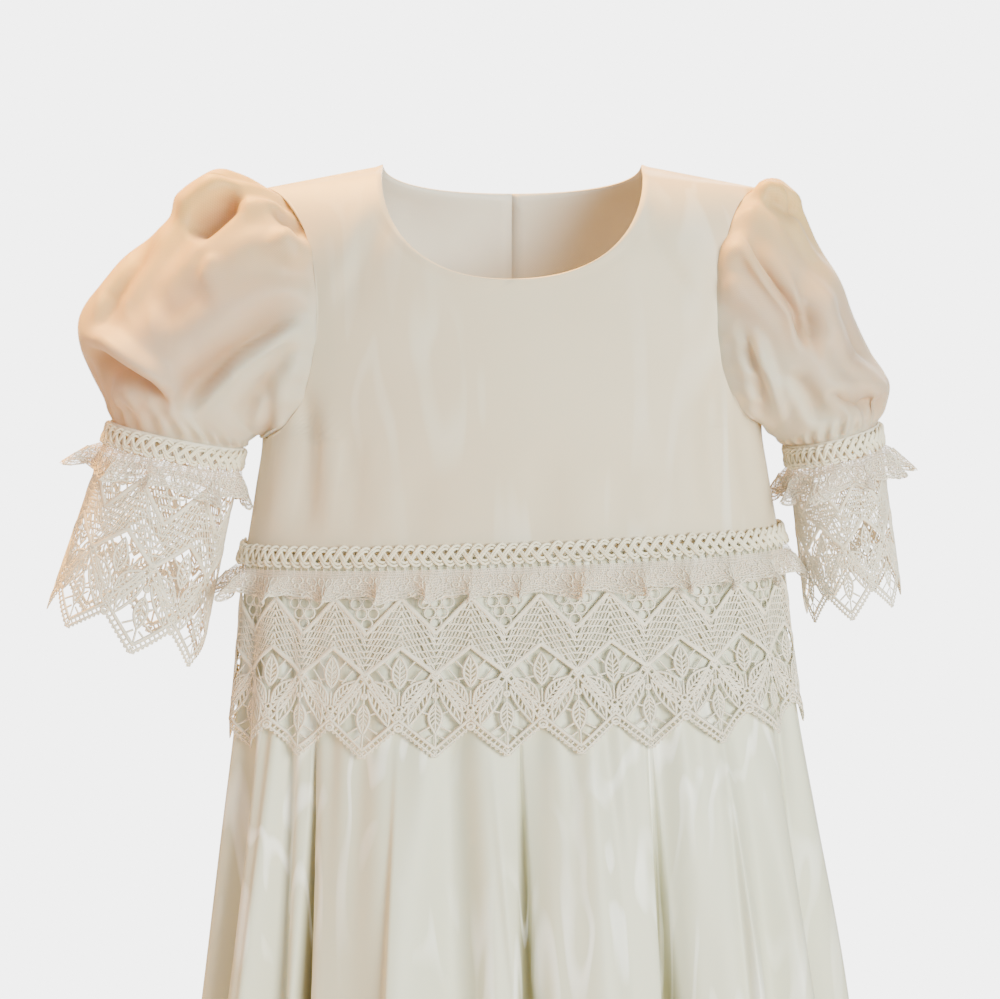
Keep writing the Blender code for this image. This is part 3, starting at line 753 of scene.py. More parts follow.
def makePearl():
    look, tree, shader, place, _ = newLook("pearlButton", 0.22, {
        "Coat Weight": 0.4, "Subsurface Weight": 0.1, "Subsurface Scale": 0.002})
    base = mixColour(tree, driftMask(tree, place, 260.0), clothLooks["pearl"],
                     clothLooks["pearlShade"])
    tree.links.new(base, shader.inputs["Base Color"])
    return look


satin, organza, lining, sheer = makeSatin(), makeOrganza(), makeLining(), makeSheer()
netting, pearl = makeNetting(), makePearl()
laceThread = makeThread("laceThread", "thread", 0.7)
gimpCord = makeThread("gimpCord", "gimp", 0.55)
print("finishes made")


bodice = {
    "columns": 26, "sideRows": 12, "armRows": 44, "wall": 0.0010,
    "rollWidth": 0.0022, "rollHeight": 0.0005, "stitchDrop": 0.0042, "stitchGroove": -0.0003,
    "stitchWidth": 0.0009, "rimReach": 0.012, "panel": (0.125, 0.175),
    "drift": 0.0009, "driftSize": 26, "deepen": 1.5,
    # path in x and z, half width, depth, lean of the steeper side
    "creases": [
        ([(-0.092, -0.092), (-0.090, -0.125), (-0.093, -0.166)], 0.0045, -0.0022, 0.3),
        ([(-0.082, -0.100), (-0.079, -0.135), (-0.080, -0.168)], 0.0040, 0.0014, 0.0),
        ([(-0.071, -0.112), (-0.068, -0.140), (-0.069, -0.168)], 0.0042, -0.0014, -0.2),
        ([(-0.101, -0.110), (-0.103, -0.140), (-0.106, -0.168)], 0.0040, 0.0012, 0.0),
        ([(0.090, -0.085), (0.088, -0.120), (0.092, -0.160)], 0.0045, -0.0020, -0.3),
        ([(0.078, -0.098), (0.076, -0.130), (0.079, -0.162)], 0.0045, 0.0012, 0.0),
        ([(0.101, -0.108), (0.104, -0.135), (0.107, -0.160)], 0.0040, -0.0012, 0.0),
        ([(-0.040, -0.130), (-0.043, -0.150), (-0.042, -0.170)], 0.0060, -0.0010, 0.0),
        ([(0.012, -0.120), (0.014, -0.145), (0.013, -0.170)], 0.0065, -0.0010, 0.0),
        ([(0.047, -0.126), (0.045, -0.148), (0.047, -0.168)], 0.0055, -0.0011, 0.0),
        ([(-0.054, -0.014), (-0.064, -0.040), (-0.078, -0.068)], 0.0060, -0.0012, 0.3),
        ([(0.056, -0.014), (0.066, -0.042), (0.082, -0.066)], 0.0060, -0.0012, -0.3),
    ],
    "backCreases": [
        ([(-0.088, -0.088), (-0.086, -0.125), (-0.088, -0.166)], 0.0050, -0.0018, 0.2),
        ([(-0.064, -0.110), (-0.062, -0.140), (-0.063, -0.168)], 0.0050, -0.0012, 0.0),
        ([(0.085, -0.082), (0.083, -0.120), (0.086, -0.160)], 0.0050, -0.0018, -0.2),
        ([(0.058, -0.104), (0.056, -0.135), (0.058, -0.165)], 0.0052, 0.0012, 0.0),
        ([(-0.032, -0.135), (-0.030, -0.150), (-0.031, -0.168)], 0.0050, 0.0010, 0.0),
        ([(0.030, -0.118), (0.033, -0.142), (0.032, -0.168)], 0.0060, -0.0010, 0.0),
        ([(-0.050, -0.012), (-0.062, -0.036), (-0.074, -0.062)], 0.0060, -0.0010, 0.2),
        ([(0.050, -0.012), (0.061, -0.038), (0.075, -0.060)], 0.0060, -0.0010, -0.2),
    ],
}


def halfPanel(side, back):
    sideRows, armRows = bodice["sideRows"], bodice["armRows"]
    outward = side * (1 if back else -1)

    def place(across, up):
        step = up * (sideRows + armRows) - sideRows
        rise = step / armRows if step > 0 else step / sideRows
        return bodicePoint(across if outward > 0 else 1 - across, rise, side, back)

    return sheetOf(bodice["columns"], sideRows + armRows, bodice["panel"], place)


def rollNeck(bm, back):
    # the turned neck edge is a little thicker, with a row of stitches sunk below it
    rim = np.array([bodyPoint(sign * x, z, back)[:] for share in np.linspace(0, 1, 90)
                    for x, z in [neckEdge(share, back)] for sign in (-1, 1)])
    bm.normal_update()
    for vert in bm.verts:
        far = float(np.linalg.norm(rim - np.array(vert.co[:]), axis=1).min())
        if far < bodice["rimReach"]:
            lift = bodice["rollHeight"] * exp(-(far / bodice["rollWidth"]) ** 2)
            below = (far - bodice["stitchDrop"]) / bodice["stitchWidth"]
            lift += bodice["stitchGroove"] * exp(-below ** 2)
            vert.co += vert.normal * lift


def loosen(bm, seed):
    # slow unevenness, nothing at the seams
    for vert in bm.verts:
        if not vert.is_boundary:
            spot = vert.co * bodice["driftSize"] + Vector((seed, 0, 0))
            vert.co += vert.normal * noise.noise(spot) * bodice["drift"]


def finishBodice(name, bm, back, node):
    creases = [[], bodice["backCreases"]] if back else [bodice["creases"], []]
    pressCreases(bm, *creases, bodice["deepen"])
    loosen(bm, 9 if back else 4)
    rollNeck(bm, back)
    return stitchPiece(name, bm, [organza, lining], [node], bodice["wall"],
                       lined=True)


def makeBodice():
    bm = halfPanel(-1, False)
    joinMesh(bm, meshOf(halfPanel(1, False)))
    bmesh.ops.remove_doubles(bm, verts=bm.verts, dist=1e-6)
    front = finishBodice("bodiceFront", bm, False, "bodice_front")
    backs = [finishBodice("bodiceBack" + hand.capitalize(), halfPanel(side, True), True,
                          "bodice_back_" + hand) for side, hand in ((-1, "left"), (1, "right"))]
    return front, backs


bodiceFront, bodiceBacks = makeBodice()
for half in bodiceBacks:
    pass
print("bodice made")


closing = {
    "width": 0.014, "drop": 0.001, "bottom": -0.167 + 0.0046, "wall": 0.0009,
    "buttonDrops": (0.030, 0.078, 0.126), "radius": 0.0045, "thick": 0.0022,
    "threadOut": 0.0011, "threadRadius": 0.00028, "length": 0.155,
    # reach and height of the button's outline, as shares of its radius and half its thickness
    "outline": [(0.0, 0.30), (0.55, 0.34), (0.66, 0.55), (0.80, 0.95), (0.92, 0.80), (1.0, 0.35),
                (0.96, -0.5), (0.70, -1.0), (0.0, -1.0)],
}


def makePlacket():
    top = -cut["neckBack"] - closing["drop"]

    def place(across, up):
        x = closing["width"] * (0.5 - across)
        point = bodyPoint(x, closing["bottom"] + (top - closing["bottom"]) * up, True)
        edge = min(across, 1 - across) * closing["width"]
        stitch = -0.0003 * exp(-((edge - 0.0016) / 0.0005) ** 2)
        buckle = 0.0003 * sin(up * 31) * sin(across * pi)
        return point + Vector((0, cut["rest"] + cut["cloth"] + stitch + buckle, 0))

    bm = sheetOf(20, 90, (closing["width"], closing["length"]), place)
    return stitchPiece("backPlacket", bm, [organza], ["back_placket"],
                       closing["wall"])


def makeButton(drop):
    # a turned face with a rim and a dished middle, and a cross of thread
    radius, thick = closing["radius"], closing["thick"]
    bm = bmesh.new()
    verts = [bm.verts.new((radius * r, 0, thick / 2 * z)) for r, z in closing["outline"]]
    edges = [bm.edges.new(pair) for pair in zip(verts[:-1], verts[1:])]
    bmesh.ops.spin(bm, geom=verts + edges, cent=(0, 0, 0), axis=(0, 0, 1), angle=2 * pi,
                   steps=40, use_merge=True)
    bmesh.ops.remove_doubles(bm, verts=bm.verts, dist=1e-6)
    bmesh.ops.recalc_face_normals(bm, faces=bm.faces)
    for face in bm.faces:
        face.smooth = True
    out = closing["threadOut"]
    paths = []
    for sign in (-1, 1):
        rises = ((-1, 0.0004), (-0.6, 0.0009), (0, 0.0010 + 0.0002 * sign), (0.6, 0.0009),
                 (1, 0.0004))
        arch = [(out * share, out * share * sign, high) for share, high in rises]
        paths.append((arch, closing["threadRadius"], False))
    joinMesh(bm, threadMesh(paths, 8), 1)
    spot = bodyPoint(0, -drop, True)
    above, below = (bodyPoint(0, -drop + radius * s, True) for s in (1, -1))
    outward = Vector((0, above.z - below.z, below.y - above.y)).normalized()
    turn = Vector((0, 0, 1)).rotation_difference(outward).to_matrix()
    bmesh.ops.rotate(bm, verts=bm.verts, cent=(0, 0, 0), matrix=turn)
    lift = 2 * cut["rest"] + cut["cloth"] + thick / 2
    bmesh.ops.translate(bm, verts=bm.verts, vec=spot + outward * lift)
    return bm


backPlacket = makePlacket()
for index, drop in enumerate(closing["buttonDrops"], start=1):
    stitchPiece(f"button{index}", makeButton(drop), [pearl, laceThread], [f"button_{index}"])
print("back closing made")


skirt = {
    "columns": 430, "rows": 62, "spread": 1.15, "wall": 0.0010, "panel": (0.66, 0.60),
    # turn, drift to the hem, half width, depth of the narrow troughs
    "tucks": [
        (225.2, 0.0, 1.8, 0.0115), (270.6, 0.6, 1.5, 0.0105), (297.2, 0.8, 1.9, 0.0120),
        (205.0, -1.5, 1.5, 0.0070), (340.0, 1.5, 1.6, 0.0065), (14.0, 1.0, 1.8, 0.0070),
        (46.0, 1.0, 1.5, 0.0085), (77.0, 0.0, 1.9, 0.0070), (106.0, 1.0, 1.6, 0.0085),
        (138.0, -1.0, 1.9, 0.0075), (163.0, 1.0, 1.6, 0.0070),
    ],
    # turn, drift, left width, right width, height of the crests between them
    "crests": [
        (246.5, 0.5, 0.9, 6.5, 0.0065), (262.5, 20.0, 0.9, 2.6, 0.0030),
        (317.5, -10.0, 0.9, 5.5, 0.0070), (276.0, 1.0, 2.5, 5.0, 0.0028),
        (213.0, -1.0, 1.5, 3.5, 0.0035), (286.5, 1.0, 4.0, 1.4, 0.0022),
        (28.0, 2.0, 5.5, 1.2, 0.0045), (60.0, -2.0, 1.2, 6.0, 0.0050),
        (91.0, 3.0, 5.0, 1.2, 0.0045), (122.0, -3.0, 1.2, 6.0, 0.0050),
        (151.0, 1.0, 4.0, 1.2, 0.0040),
    ],
    "gatherDepth": 0.0010, "gathers": 46, "driftDepth": 0.0030, "deeper": 0.25,
    # the last is the tuck depth at which the painted shade is full
    "driftSize": (5.06, 5.06, 5.52), "hemWidth": 0.022, "hemGroove": -0.0005, "tuckPaintedShade": 0.009,
}


def foldLift(turn, z):
    deeper = readRow(skirtRows, z)[4] * foldAt(turn, z) * skirt["deeper"]
    return deeper * ease(cut["waistZ"] - z, 0.03, 0.12)


def tuckAt(turn, z):
    # narrow flat troughs that open towards the hem
    depth = 0.0
    for place, drift, half, deep in skirt["tucks"]:
        away, down = turnedBy(turn, place, drift, z)
        half *= min(1.7, max(0.25, 0.25 + (down - 0.15) * 3.75))
        if abs(away) < 2 * half:
            depth -= deep * exp(-(away / half) ** 4)
    return depth


def crestAt(turn, z):
    rise = 0.0
    for place, drift, left, right, high in skirt["crests"]:
        away, _ = turnedBy(turn, place, drift, z)
        rise += high * exp(-(away / (left if away < 0 else right)) ** 2)
    return rise


def skirtSurface(turn, z, lift=0.0):
    down = cut["waistZ"] - z
    lift += (tuckAt(turn, z) + crestAt(turn, z)) * ease(down, 0.05, 0.20)
    angle = radians(turn)
    gather = skirt["gatherDepth"] * (sin(angle * skirt["gathers"] + 2 * sin(angle * 5)) - 1)
    gather *= ease(down, 0.0, 0.02) * (1 - ease(down, 0.06, 0.20))
    drift = Vector(skirt["driftSize"]) * Vector((cos(angle), sin(angle), z))
    slow = noise.noise(drift) * skirt["driftDepth"] * ease(down, 0.05, 0.3)
    hem = exp(-((z - cut["hemZ"] - skirt["hemWidth"]) / 0.0016) ** 2) * skirt["hemGroove"]
    return skirtPoint(turn, z, lift + gather + slow + hem + foldLift(turn, z))


def makeSkirt(back, name, node):
    start = 0 if back else 180
    low, high = cut["hemZ"], cut["waistZ"] - cut["gap"]

    def height(up):
        return low + (high - low) * (1 - max(0, 1 - up) ** skirt["spread"])

    def place(across, up):
        return skirtSurface(start + across * 180, height(up))

    wide, tall = skirt["panel"]
    bm = sheetOf(skirt["columns"], skirt["rows"], skirt["panel"], place)
    paintedShade = bm.verts.layers.float.new("paintedShade")
    clothMap = bm.loops.layers.uv["cloth"]
    for face in bm.faces:
        for loop in face.loops:
            across, up = loop[clothMap].uv.x / wide, loop[clothMap].uv.y / tall
            turn, z = start + across * 180, height(min(1, up))
            # painted shade: deeper in the narrow tucks and in the hollows of the folds
            depth = -tuckAt(turn, z) / skirt["tuckPaintedShade"] - 0.15 * foldAt(turn, z)
            loop.vert[paintedShade] = max(0.0, min(1.0, depth)) * ease(cut["waistZ"] - z, 0.05, 0.20)
    return stitchPiece(name, bm, [satin], [node], skirt["wall"])


for back, name, node in ((False, "skirtFront", "skirt_front"), (True, "skirtBack", "skirt_back")):
    panel = makeSkirt(back, name, node)
    tell(panel)
print("skirt made")


sleeve = {
    "columns": 210, "rows": 120, "wall": 0.0004, "deepen": 1.5,
    "headDepth": 0.0016, "headGathers": 19, "headStart": 0.05, "headFade": (0.10, 0.32),
    "wristDepth": 0.0018, "wristGathers": 23, "wristStart": (0.74, 0.96), "softness": 0.4,
    "drift": 0.0012, "driftSize": 18, "seatReach": 0.05, "seatIn": 0.0035, "seatUnder": 0.0016,
    "bandShare": 0.06, "bandDepth": 0.0095, "bandUnder": 0.0008, "panel": (0.34, 0.15),
}

# path in x and z, half width, depth, lean of the steeper side
sleeveCreases = {
    "left": [
        ([(-0.1195, -0.0105), (-0.1323, -0.0215), (-0.1440, -0.0300)], 0.0052, -0.0072, 0.2),
        ([(-0.1215, -0.0030), (-0.1400, -0.0130), (-0.1530, -0.0240)], 0.0050, 0.0030, 0.0),
        ([(-0.1062, -0.0167), (-0.0981, -0.0248), (-0.0896, -0.0338)], 0.0040, -0.0035, 0.3),
        ([(-0.1050, -0.0290), (-0.0972, -0.0365), (-0.0915, -0.0460)], 0.0060, 0.0030, 0.0),
        ([(-0.1560, -0.0270), (-0.1656, -0.0410), (-0.1755, -0.0572), (-0.1791, -0.0752)],
         0.0045, -0.0032, 0.4),
        ([(-0.1900, -0.0800), (-0.1745, -0.0875), (-0.1580, -0.0970), (-0.1480, -0.1090)],
         0.0065, -0.0075, -0.4),
        ([(-0.1935, -0.0730), (-0.1730, -0.0780), (-0.1560, -0.0890), (-0.1440, -0.1010)],
         0.0050, 0.0030, 0.0),
        ([(-0.1800, -0.0985), (-0.1660, -0.1000), (-0.1520, -0.1080)], 0.0060, 0.0035, 0.0),
        ([(-0.0873, -0.0608), (-0.1053, -0.0725), (-0.1224, -0.0850), (-0.1377, -0.1004),
          (-0.1485, -0.1130)], 0.0055, -0.0050, -0.5),
        ([(-0.0927, -0.0760), (-0.1062, -0.0959), (-0.1215, -0.1160)], 0.0042, -0.0030, -0.3),
        ([(-0.1040, -0.0930), (-0.1080, -0.1156), (-0.1125, -0.1270)], 0.0032, -0.0024, 0.0),
        ([(-0.1305, -0.0380), (-0.1345, -0.0520)], 0.0035, 0.0012, 0.4),
        ([(-0.1300, -0.0500), (-0.1450, -0.0620), (-0.1580, -0.0660)], 0.0090, -0.0022, 0.0),
    ],
    "leftBack": [
        ([(-0.1230, -0.0210), (-0.1340, -0.0320), (-0.1400, -0.0460)], 0.0060, -0.0040, -0.2),
        ([(-0.1020, -0.0260), (-0.1010, -0.0430), (-0.1080, -0.0620)], 0.0055, -0.0040, 0.3),
        ([(-0.1560, -0.0330), (-0.1640, -0.0520), (-0.1620, -0.0750)], 0.0055, -0.0035, 0.2),
        ([(-0.1880, -0.0740), (-0.1740, -0.0900), (-0.1560, -0.0990), (-0.1450, -0.1120)],
         0.0060, -0.0060, -0.3),
        ([(-0.0930, -0.0660), (-0.1120, -0.0820), (-0.1290, -0.0990), (-0.1400, -0.1160)],
         0.0055, -0.0045, 0.4),
        ([(-0.1340, -0.0600), (-0.1460, -0.0740), (-0.1540, -0.0820)], 0.0070, 0.0025, 0.0),
    ],
    "right": [
        ([(0.1110, -0.0120), (0.1190, -0.0165), (0.1280, -0.0230)], 0.0034, -0.0032, -0.4),
        ([(0.1060, -0.0070), (0.1170, -0.0120), (0.1290, -0.0190)], 0.0040, 0.0022, 0.0),
        ([(0.1000, -0.0265), (0.1062, -0.0374), (0.1143, -0.0518), (0.1224, -0.0640),
          (0.1260, -0.0760), (0.1300, -0.0820)], 0.0046, -0.0055, 0.5),
        ([(0.1050, -0.0300), (0.1130, -0.0420), (0.1215, -0.0550), (0.1290, -0.0680)],
         0.0045, 0.0028, 0.0),
        ([(0.1214, -0.0440), (0.1287, -0.0635), (0.1330, -0.0860)], 0.0032, -0.0018, 0.4),
        ([(0.0980, -0.0300), (0.0950, -0.0450), (0.0985, -0.0620)], 0.0050, 0.0026, 0.0),
        ([(0.1008, -0.0660), (0.1116, -0.0887), (0.1251, -0.1165)], 0.0036, 0.0024, 0.0),
        ([(0.0975, -0.0660), (0.1050, -0.0900), (0.1115, -0.1160)], 0.0030, -0.0020, 0.3),
        ([(0.1060, -0.0700), (0.1150, -0.0920), (0.1240, -0.1180)], 0.0028, -0.0018, 0.3),
        ([(0.1180, -0.0880), (0.1275, -0.1010), (0.1350, -0.1150)], 0.0040, -0.0022, 0.4),
        ([(0.1340, -0.1010), (0.1500, -0.1020), (0.1660, -0.1060)], 0.0045, -0.0034, -0.3),
        ([(0.1400, -0.0560), (0.1480, -0.0760), (0.1560, -0.0920)], 0.0060, -0.0022, 0.0),
        ([(0.1330, -0.0400), (0.1400, -0.0620), (0.1450, -0.0850)], 0.0080, 0.0020, 0.0),
    ],
    "rightBack": [
        ([(0.1120, -0.0130), (0.1200, -0.0300), (0.1220, -0.0480)], 0.0050, -0.0050, 0.3),
        ([(0.1000, -0.0320), (0.1060, -0.0530), (0.1180, -0.0760), (0.1260, -0.0920)],
         0.0048, -0.0050, -0.4),
        ([(0.1330, -0.0460), (0.1420, -0.0680), (0.1500, -0.0880)], 0.0055, -0.0035, 0.3),
        ([(0.1060, -0.0760), (0.1110, -0.0920), (0.1180, -0.1080)], 0.0042, -0.0036, 0.0),
        ([(0.1260, -0.0860), (0.1370, -0.0980), (0.1520, -0.1050)], 0.0050, -0.0040, 0.2),
    ],
}


def sleeveSurface(around, along, arm):
    band = max(0.0, along - 1)
    along = min(1.0, along)
    point = sleevePoint(around, along, arm)
    outward = (point - fanCentre(arm, along)).normalized()
    spin = radians(around)
    if band:
        # the cuff band runs on inside the braid
        share = band / sleeve["bandShare"]
        point = cuffPoint(around, share * sleeve["bandDepth"], arm)
        point -= outward * sleeve["bandUnder"] * ease(share, 0.0, 0.3)
    # the first rows lie under the edge of the bodice
    seat = 1 - ease(along, 0.0, sleeve["seatReach"])
    point.x -= arm["side"] * sleeve["seatIn"] * seat
    point -= outward * sleeve["seatUnder"] * seat
    head = sleeve["headDepth"] * sin(spin * sleeve["headGathers"] + 1.4 * sin(3 * spin))
    head *= ease(along, 0.0, sleeve["headStart"]) * (1 - ease(along, *sleeve["headFade"]))
    head *= 0.25 + 0.75 * max(0.0, cos(spin / 2)) ** 2
    wrist = sleeve["wristDepth"] * sin(spin * sleeve["wristGathers"] + 1.9 * sin(2 * spin + 1))
    wrist *= ease(along, *sleeve["wristStart"]) * (1 - 0.75 * ease(along, 0.95, 1.0))
    slow = noise.noise(point * sleeve["driftSize"]) * sleeve["drift"] * sin(pi * along)
    return point + outward * (head + wrist + slow)


def makeSleeve(hand):
    arm = arms[hand]

    def place(across, up):
        along = (1 - up) * (1 + sleeve["bandShare"])
        return sleeveSurface((across * arm["side"] * -360) % 360, along, arm)

    bm = sheetOf(sleeve["columns"], sleeve["rows"], sleeve["panel"], place)
    pressCreases(bm, sleeveCreases[hand], sleeveCreases[hand + "Back"], sleeve["deepen"])
    inner = [v for v in bm.verts if not v.is_boundary]
    bmesh.ops.smooth_vert(bm, verts=inner, factor=sleeve["softness"], use_axis_x=True,
                          use_axis_y=True, use_axis_z=True)
    return stitchPiece("sleeve" + hand.capitalize(), bm, [sheer], ["sleeve_" + hand],
                       sleeve["wall"])


for hand in arms:
    puff = makeSleeve(hand)
    tell(puff)
print("sleeves made")


# Rings that the trims lie on: place(across, up), across once round, up from the lower edge.
def waistTurns():
    # turns round the waist at equal steps of length, from the left side seam
    turns = np.linspace(180, 540, 721)
    spots = np.array([skirtPoint(turn, lace["evenAt"]) for turn in turns])
    walked = np.concatenate([[0], np.cumsum(np.linalg.norm(spots[1:] - spots[:-1], axis=1))])
    return walked / walked[-1], turns


def waistRing(top, depth, inner, spread=0.0):
    walked, turns = waistTurns()

    def place(across, up):
        turn = float(np.interp((across + lace["shift"]) % 1, walked, turns))
        z = cut["waistZ"] + top - depth * (1 - up)
        return skirtPoint(turn, z, inner + spread * (1 - up) + foldLift(turn, z))

    return place


def cuffRing(arm, top, depth, inner, spread=0.0, droop=0.0):
    def place(across, up):
        around = (across * arm["side"] * -360) % 360
        down = top + depth * (1 - droop * cos(radians(around))) * (1 - up)
        return cuffPoint(around, down, arm, inner + spread * (1 - up))

    return place


def ringLength(place, up):
    spots = [place(step / 180, up) for step in range(181)]
    return sum((b - a).length for a, b in zip(spots[:-1], spots[1:]))


# Guipure lace: one repeat charted flat in millimetres, x across and y down from the tape.
lace = {
    "width": 29.5, "depth": 92.0, "notch": 78.4, "flatness": 0.5,
    "windowSide": 20.0, "windowPoint": 36.0, "bandSide": 42.0, "bandPoint": 54.5,
    "netColumns": 20, "netRows": 13, "netThread": 1.15, "netWobble": 0.55,
    "wideCord": 2.1, "cord": 1.35, "bar": 0.92, "fine": 0.68, "ladder": 2.6, "border": 2.5,
    "barStep": 2.2, "picot": 0.62, "cornerRise": 3.4,
    "ringRadius": 2.45, "ringThread": 0.95, "waistRepeats": 20, "cuffRepeats": 7, "evenAt": -0.22,
    "shift": -0.0025, "seed": 7,
    # base, tip, width, bow of each leaf and then the ends of each bar, about the middle of the
    # upper diamond and of the lower one; whatever is off the middle has a mirror image
    "upperLeaves": [((0, 60.5), (0, 45.8), 6.0, 0.0), ((1.3, 68.3), (11.8, 57.0), 5.6, 1.0)],
    "lowerLeaves": [((1.5, 60.8), (10.6, 77.4), 6.2, 1.6), ((0, 67.5), (0, 81.2), 5.4, 0.0)],
    "upperBars": [((3.2, 52.0), (6.2, 48.6)), ((0, 62.0), (0, 68.0)), ((4.6, 58.4), (9.2, 52.4)),
                  ((2.9, 56.5), (6.8, 57.2)), ((0.8, 71.0), (2.4, 74.6)),
                  ((5.4, 66.2), (7.4, 69.2)), ((9.4, 62.0), (11.6, 64.4))],
    "lowerBars": [((0, 56.5), (0, 67.5)), ((0, 81.2), (0, 88.6)), ((2.2, 78.0), (6.4, 80.6)),
                  ((1.1, 81.8), (4.6, 84.6)), ((2.6, 72.4), (5.2, 71.4)),
                  ((8.4, 65.4), (6.6, 66.8)), ((3.4, 57.8), (2.2, 61.0))],
    # middle and radius of each knotted ring
    "knots": [(0.0, 54.5, 1.5), (14.75, 78.0, 1.6), (14.75, 69.8, 1.3), (0.0, 64.0, 1.1)],
    # a stack of rings in each window: its rows, its lowest ring, and the steps across and up
    "ringRows": 4, "ringLow": 31.3, "ringSteps": (5.2, 4.6),
}


# without a seed the net's unevenness would differ in each run
noise.seed_set(lace["seed"])


def handsOf(*spots):
    # both hands for what lies off the middle, one for what lies on it
    return (-1, 1) if any(x for x, _ in spots) else (1,)


def leafCords(base, tip, wide, bow):
    # a pointed leaf: a corded outline, a midrib and pairs of veins
    base, run = Vector(base), Vector(tip) - Vector(base)
    side = Vector((run.y, -run.x)).normalized()

    def spot(share, out):
        middle = base + run * share + side * bow * sin(pi * share)
        return middle + side * out * wide / 2 * sin(pi * share**0.9)

    steps = [step / 9 for step in range(10)]
    outline = [spot(t, 1) for t in steps] + [spot(t, -1) for t in steps[-2:0:-1]]
    cords = [(outline, lace["cord"] / 2, True),
             ([spot(t, 0) for t in steps[:-1]], lace["bar"] / 2, False)]
    for share in (0.16, 0.30, 0.44, 0.58):
        for out in (-0.82, 0.82):
            cords.append(([spot(share, 0), spot(share + 0.15, out)], lace["bar"] / 2, False))
    return cords


def netCords(top, bottom):
    # rows of zigzag thread that touch each other, between two edges y = top(x) and bottom(x)
    half, columns, rows = lace["width"] / 2, lace["netColumns"], lace["netRows"]
    cords = []
    for row in range(rows + 1):
        points = []
        for column in range(columns + 1):
            level = min(max(row + (row + column) % 2 - 0.5, 0), rows)
            x = lace["width"] * column / columns - half
            inside = sin(pi * column / columns) ** 0.5 if 0 < column < columns else 0
            here = Vector((column * 0.83, level * 0.91, 2.5))
            stir = noise.noise_vector(here) * lace["netWobble"] * 2 * inside
            y = top(x) + (bottom(x) - top(x)) * level / rows
            points.append((x + stir.x, y + stir.y, -0.15 + 0.25 * stir.z))
        cords.append((points, lace["netThread"] / 2, False))
    return cords


def doubleCord(start, end, apart, wide, barStep):
    # two cords side by side with bars between
    start, end = Vector(start), Vector(end)
    length, run = (end - start).length, (end - start).normalized()
    side = Vector((run.y, -run.x)) * apart / 2
    cords = [(resample([start + side * out, end + side * out], 2.4), wide / 2, False)
             for out in (-1, 1)]
    count = round(length / barStep)
    for bar in range(1, count):
        middle = start + run * length * bar / count
        cords.append(([middle - side, middle + side], lace["bar"] / 2, False))
    return cords


def borderCords():
    # the pointed edge: a thick cord, a row of bars, a fine cord and picots
    half, notch, depth = lace["width"] / 2, lace["notch"], lace["depth"]
    slant = sqrt(half**2 + (depth - notch) ** 2) / half
    outer = [(-half, notch - 0.6), (0, depth - 0.6), (half, notch - 0.6)]
    inner = [(x, y - lace["border"] * slant) for x, y in outer]
    cords = [(resample(inner, 2.2), lace["cord"] * 0.62, False),
             (resample(outer, 2.2), lace["cord"] * 0.4, False)]
    for first, last in ((0, 1), (1, 2)):
        start, end = Vector(outer[first]), Vector(outer[last])
        length, run = (end - start).length, (end - start).normalized()
        out = Vector((-run.y, run.x))
        count = round(length / lace["barStep"])
        for bar in range(count):
            spot = start + run * length * (bar + 0.5) / count
            cords.append(([spot - out * lace["border"], spot], lace["bar"] / 2, False))
            picot = [spot + run * lace["picot"] * x + out * lace["picot"] * y
                     for x, y in ((-1, 0), (-0.8, 1), (0, 1.6), (0.8, 1), (1, 0))]
            cords.append((picot, lace["fine"] / 2, False))
    return cords


def ringSpots(x, y, radius, count, lift):
    turns = [2 * pi * step / count for step in range(count)]
    return [(x + radius * cos(turn), y + radius * sin(turn), lift) for turn in turns]


def laceRepeat():
    half, wide = lace["width"] / 2, lace["wideCord"]
    windowSide, windowPoint = lace["windowSide"], lace["windowPoint"]
    bandSide, bandPoint = lace["bandSide"], lace["bandPoint"]

    def windowEdge(x):
        return windowPoint + (windowSide - windowPoint) * abs(x) / half

    def bandEdge(x):
        return bandPoint + (bandSide - bandPoint) * abs(x) / half

    heavy = [(resample([(-half, 1), (half, 1)], 2.4), wide / 2, False),
             (resample([(-half, windowSide), (0, windowPoint), (half, windowSide)], 2.2),
              wide / 2, False),
             (resample([(-half, bandSide), (0, bandPoint), (half, bandSide)], 2.2),
              wide / 2, False)]
    light = netCords(windowEdge, bandEdge) + borderCords()
    for sign in (-1, 1):
        corner = (sign * half, lace["notch"] - lace["cornerRise"])
        light += doubleCord((0, bandPoint), corner, lace["ladder"], lace["cord"], lace["barStep"])
    stepX, stepY = lace["ringSteps"]
    for row in range(lace["ringRows"]):
        for place in range(row + 1):
            x, y = stepX * (place - row / 2), lace["ringLow"] - stepY * row
            light.append((ringSpots(x, y, lace["ringRadius"], 10, -0.1), lace["ringThread"] / 2,
                          True))
    for x in np.linspace(-half, half, 9)[:-1]:
        light.append(([(x, 1), (x + 1.2, 8), (x, 15.5)], lace["ringThread"] / 2, False))
    for middle, leaves, bars in ((half, lace["upperLeaves"], lace["upperBars"]),
                                 (0, lace["lowerLeaves"], lace["lowerBars"])):
        shift = Vector((middle, 0))
        for base, tip, size, bow in leaves:
            for hand in handsOf(base, tip):
                ends = [shift + Vector((hand * x, y)) for x, y in (base, tip)]
                light += leafCords(*ends, size, hand * bow)
        for bar in bars:
            for hand in handsOf(*bar):
                ends = [shift + Vector((hand * x, y)) for x, y in bar]
                light.append((resample(ends, 3.0), lace["bar"] / 2, False))
    for x, y, radius in lace["knots"]:
        light.append((ringSpots(x, y, radius, 8, 0.2), lace["cord"] / 2, True))
    bm = bmeshOf(threadMesh(heavy, 6))
    joinMesh(bm, threadMesh(light, 4))
    return meshOf(bm)


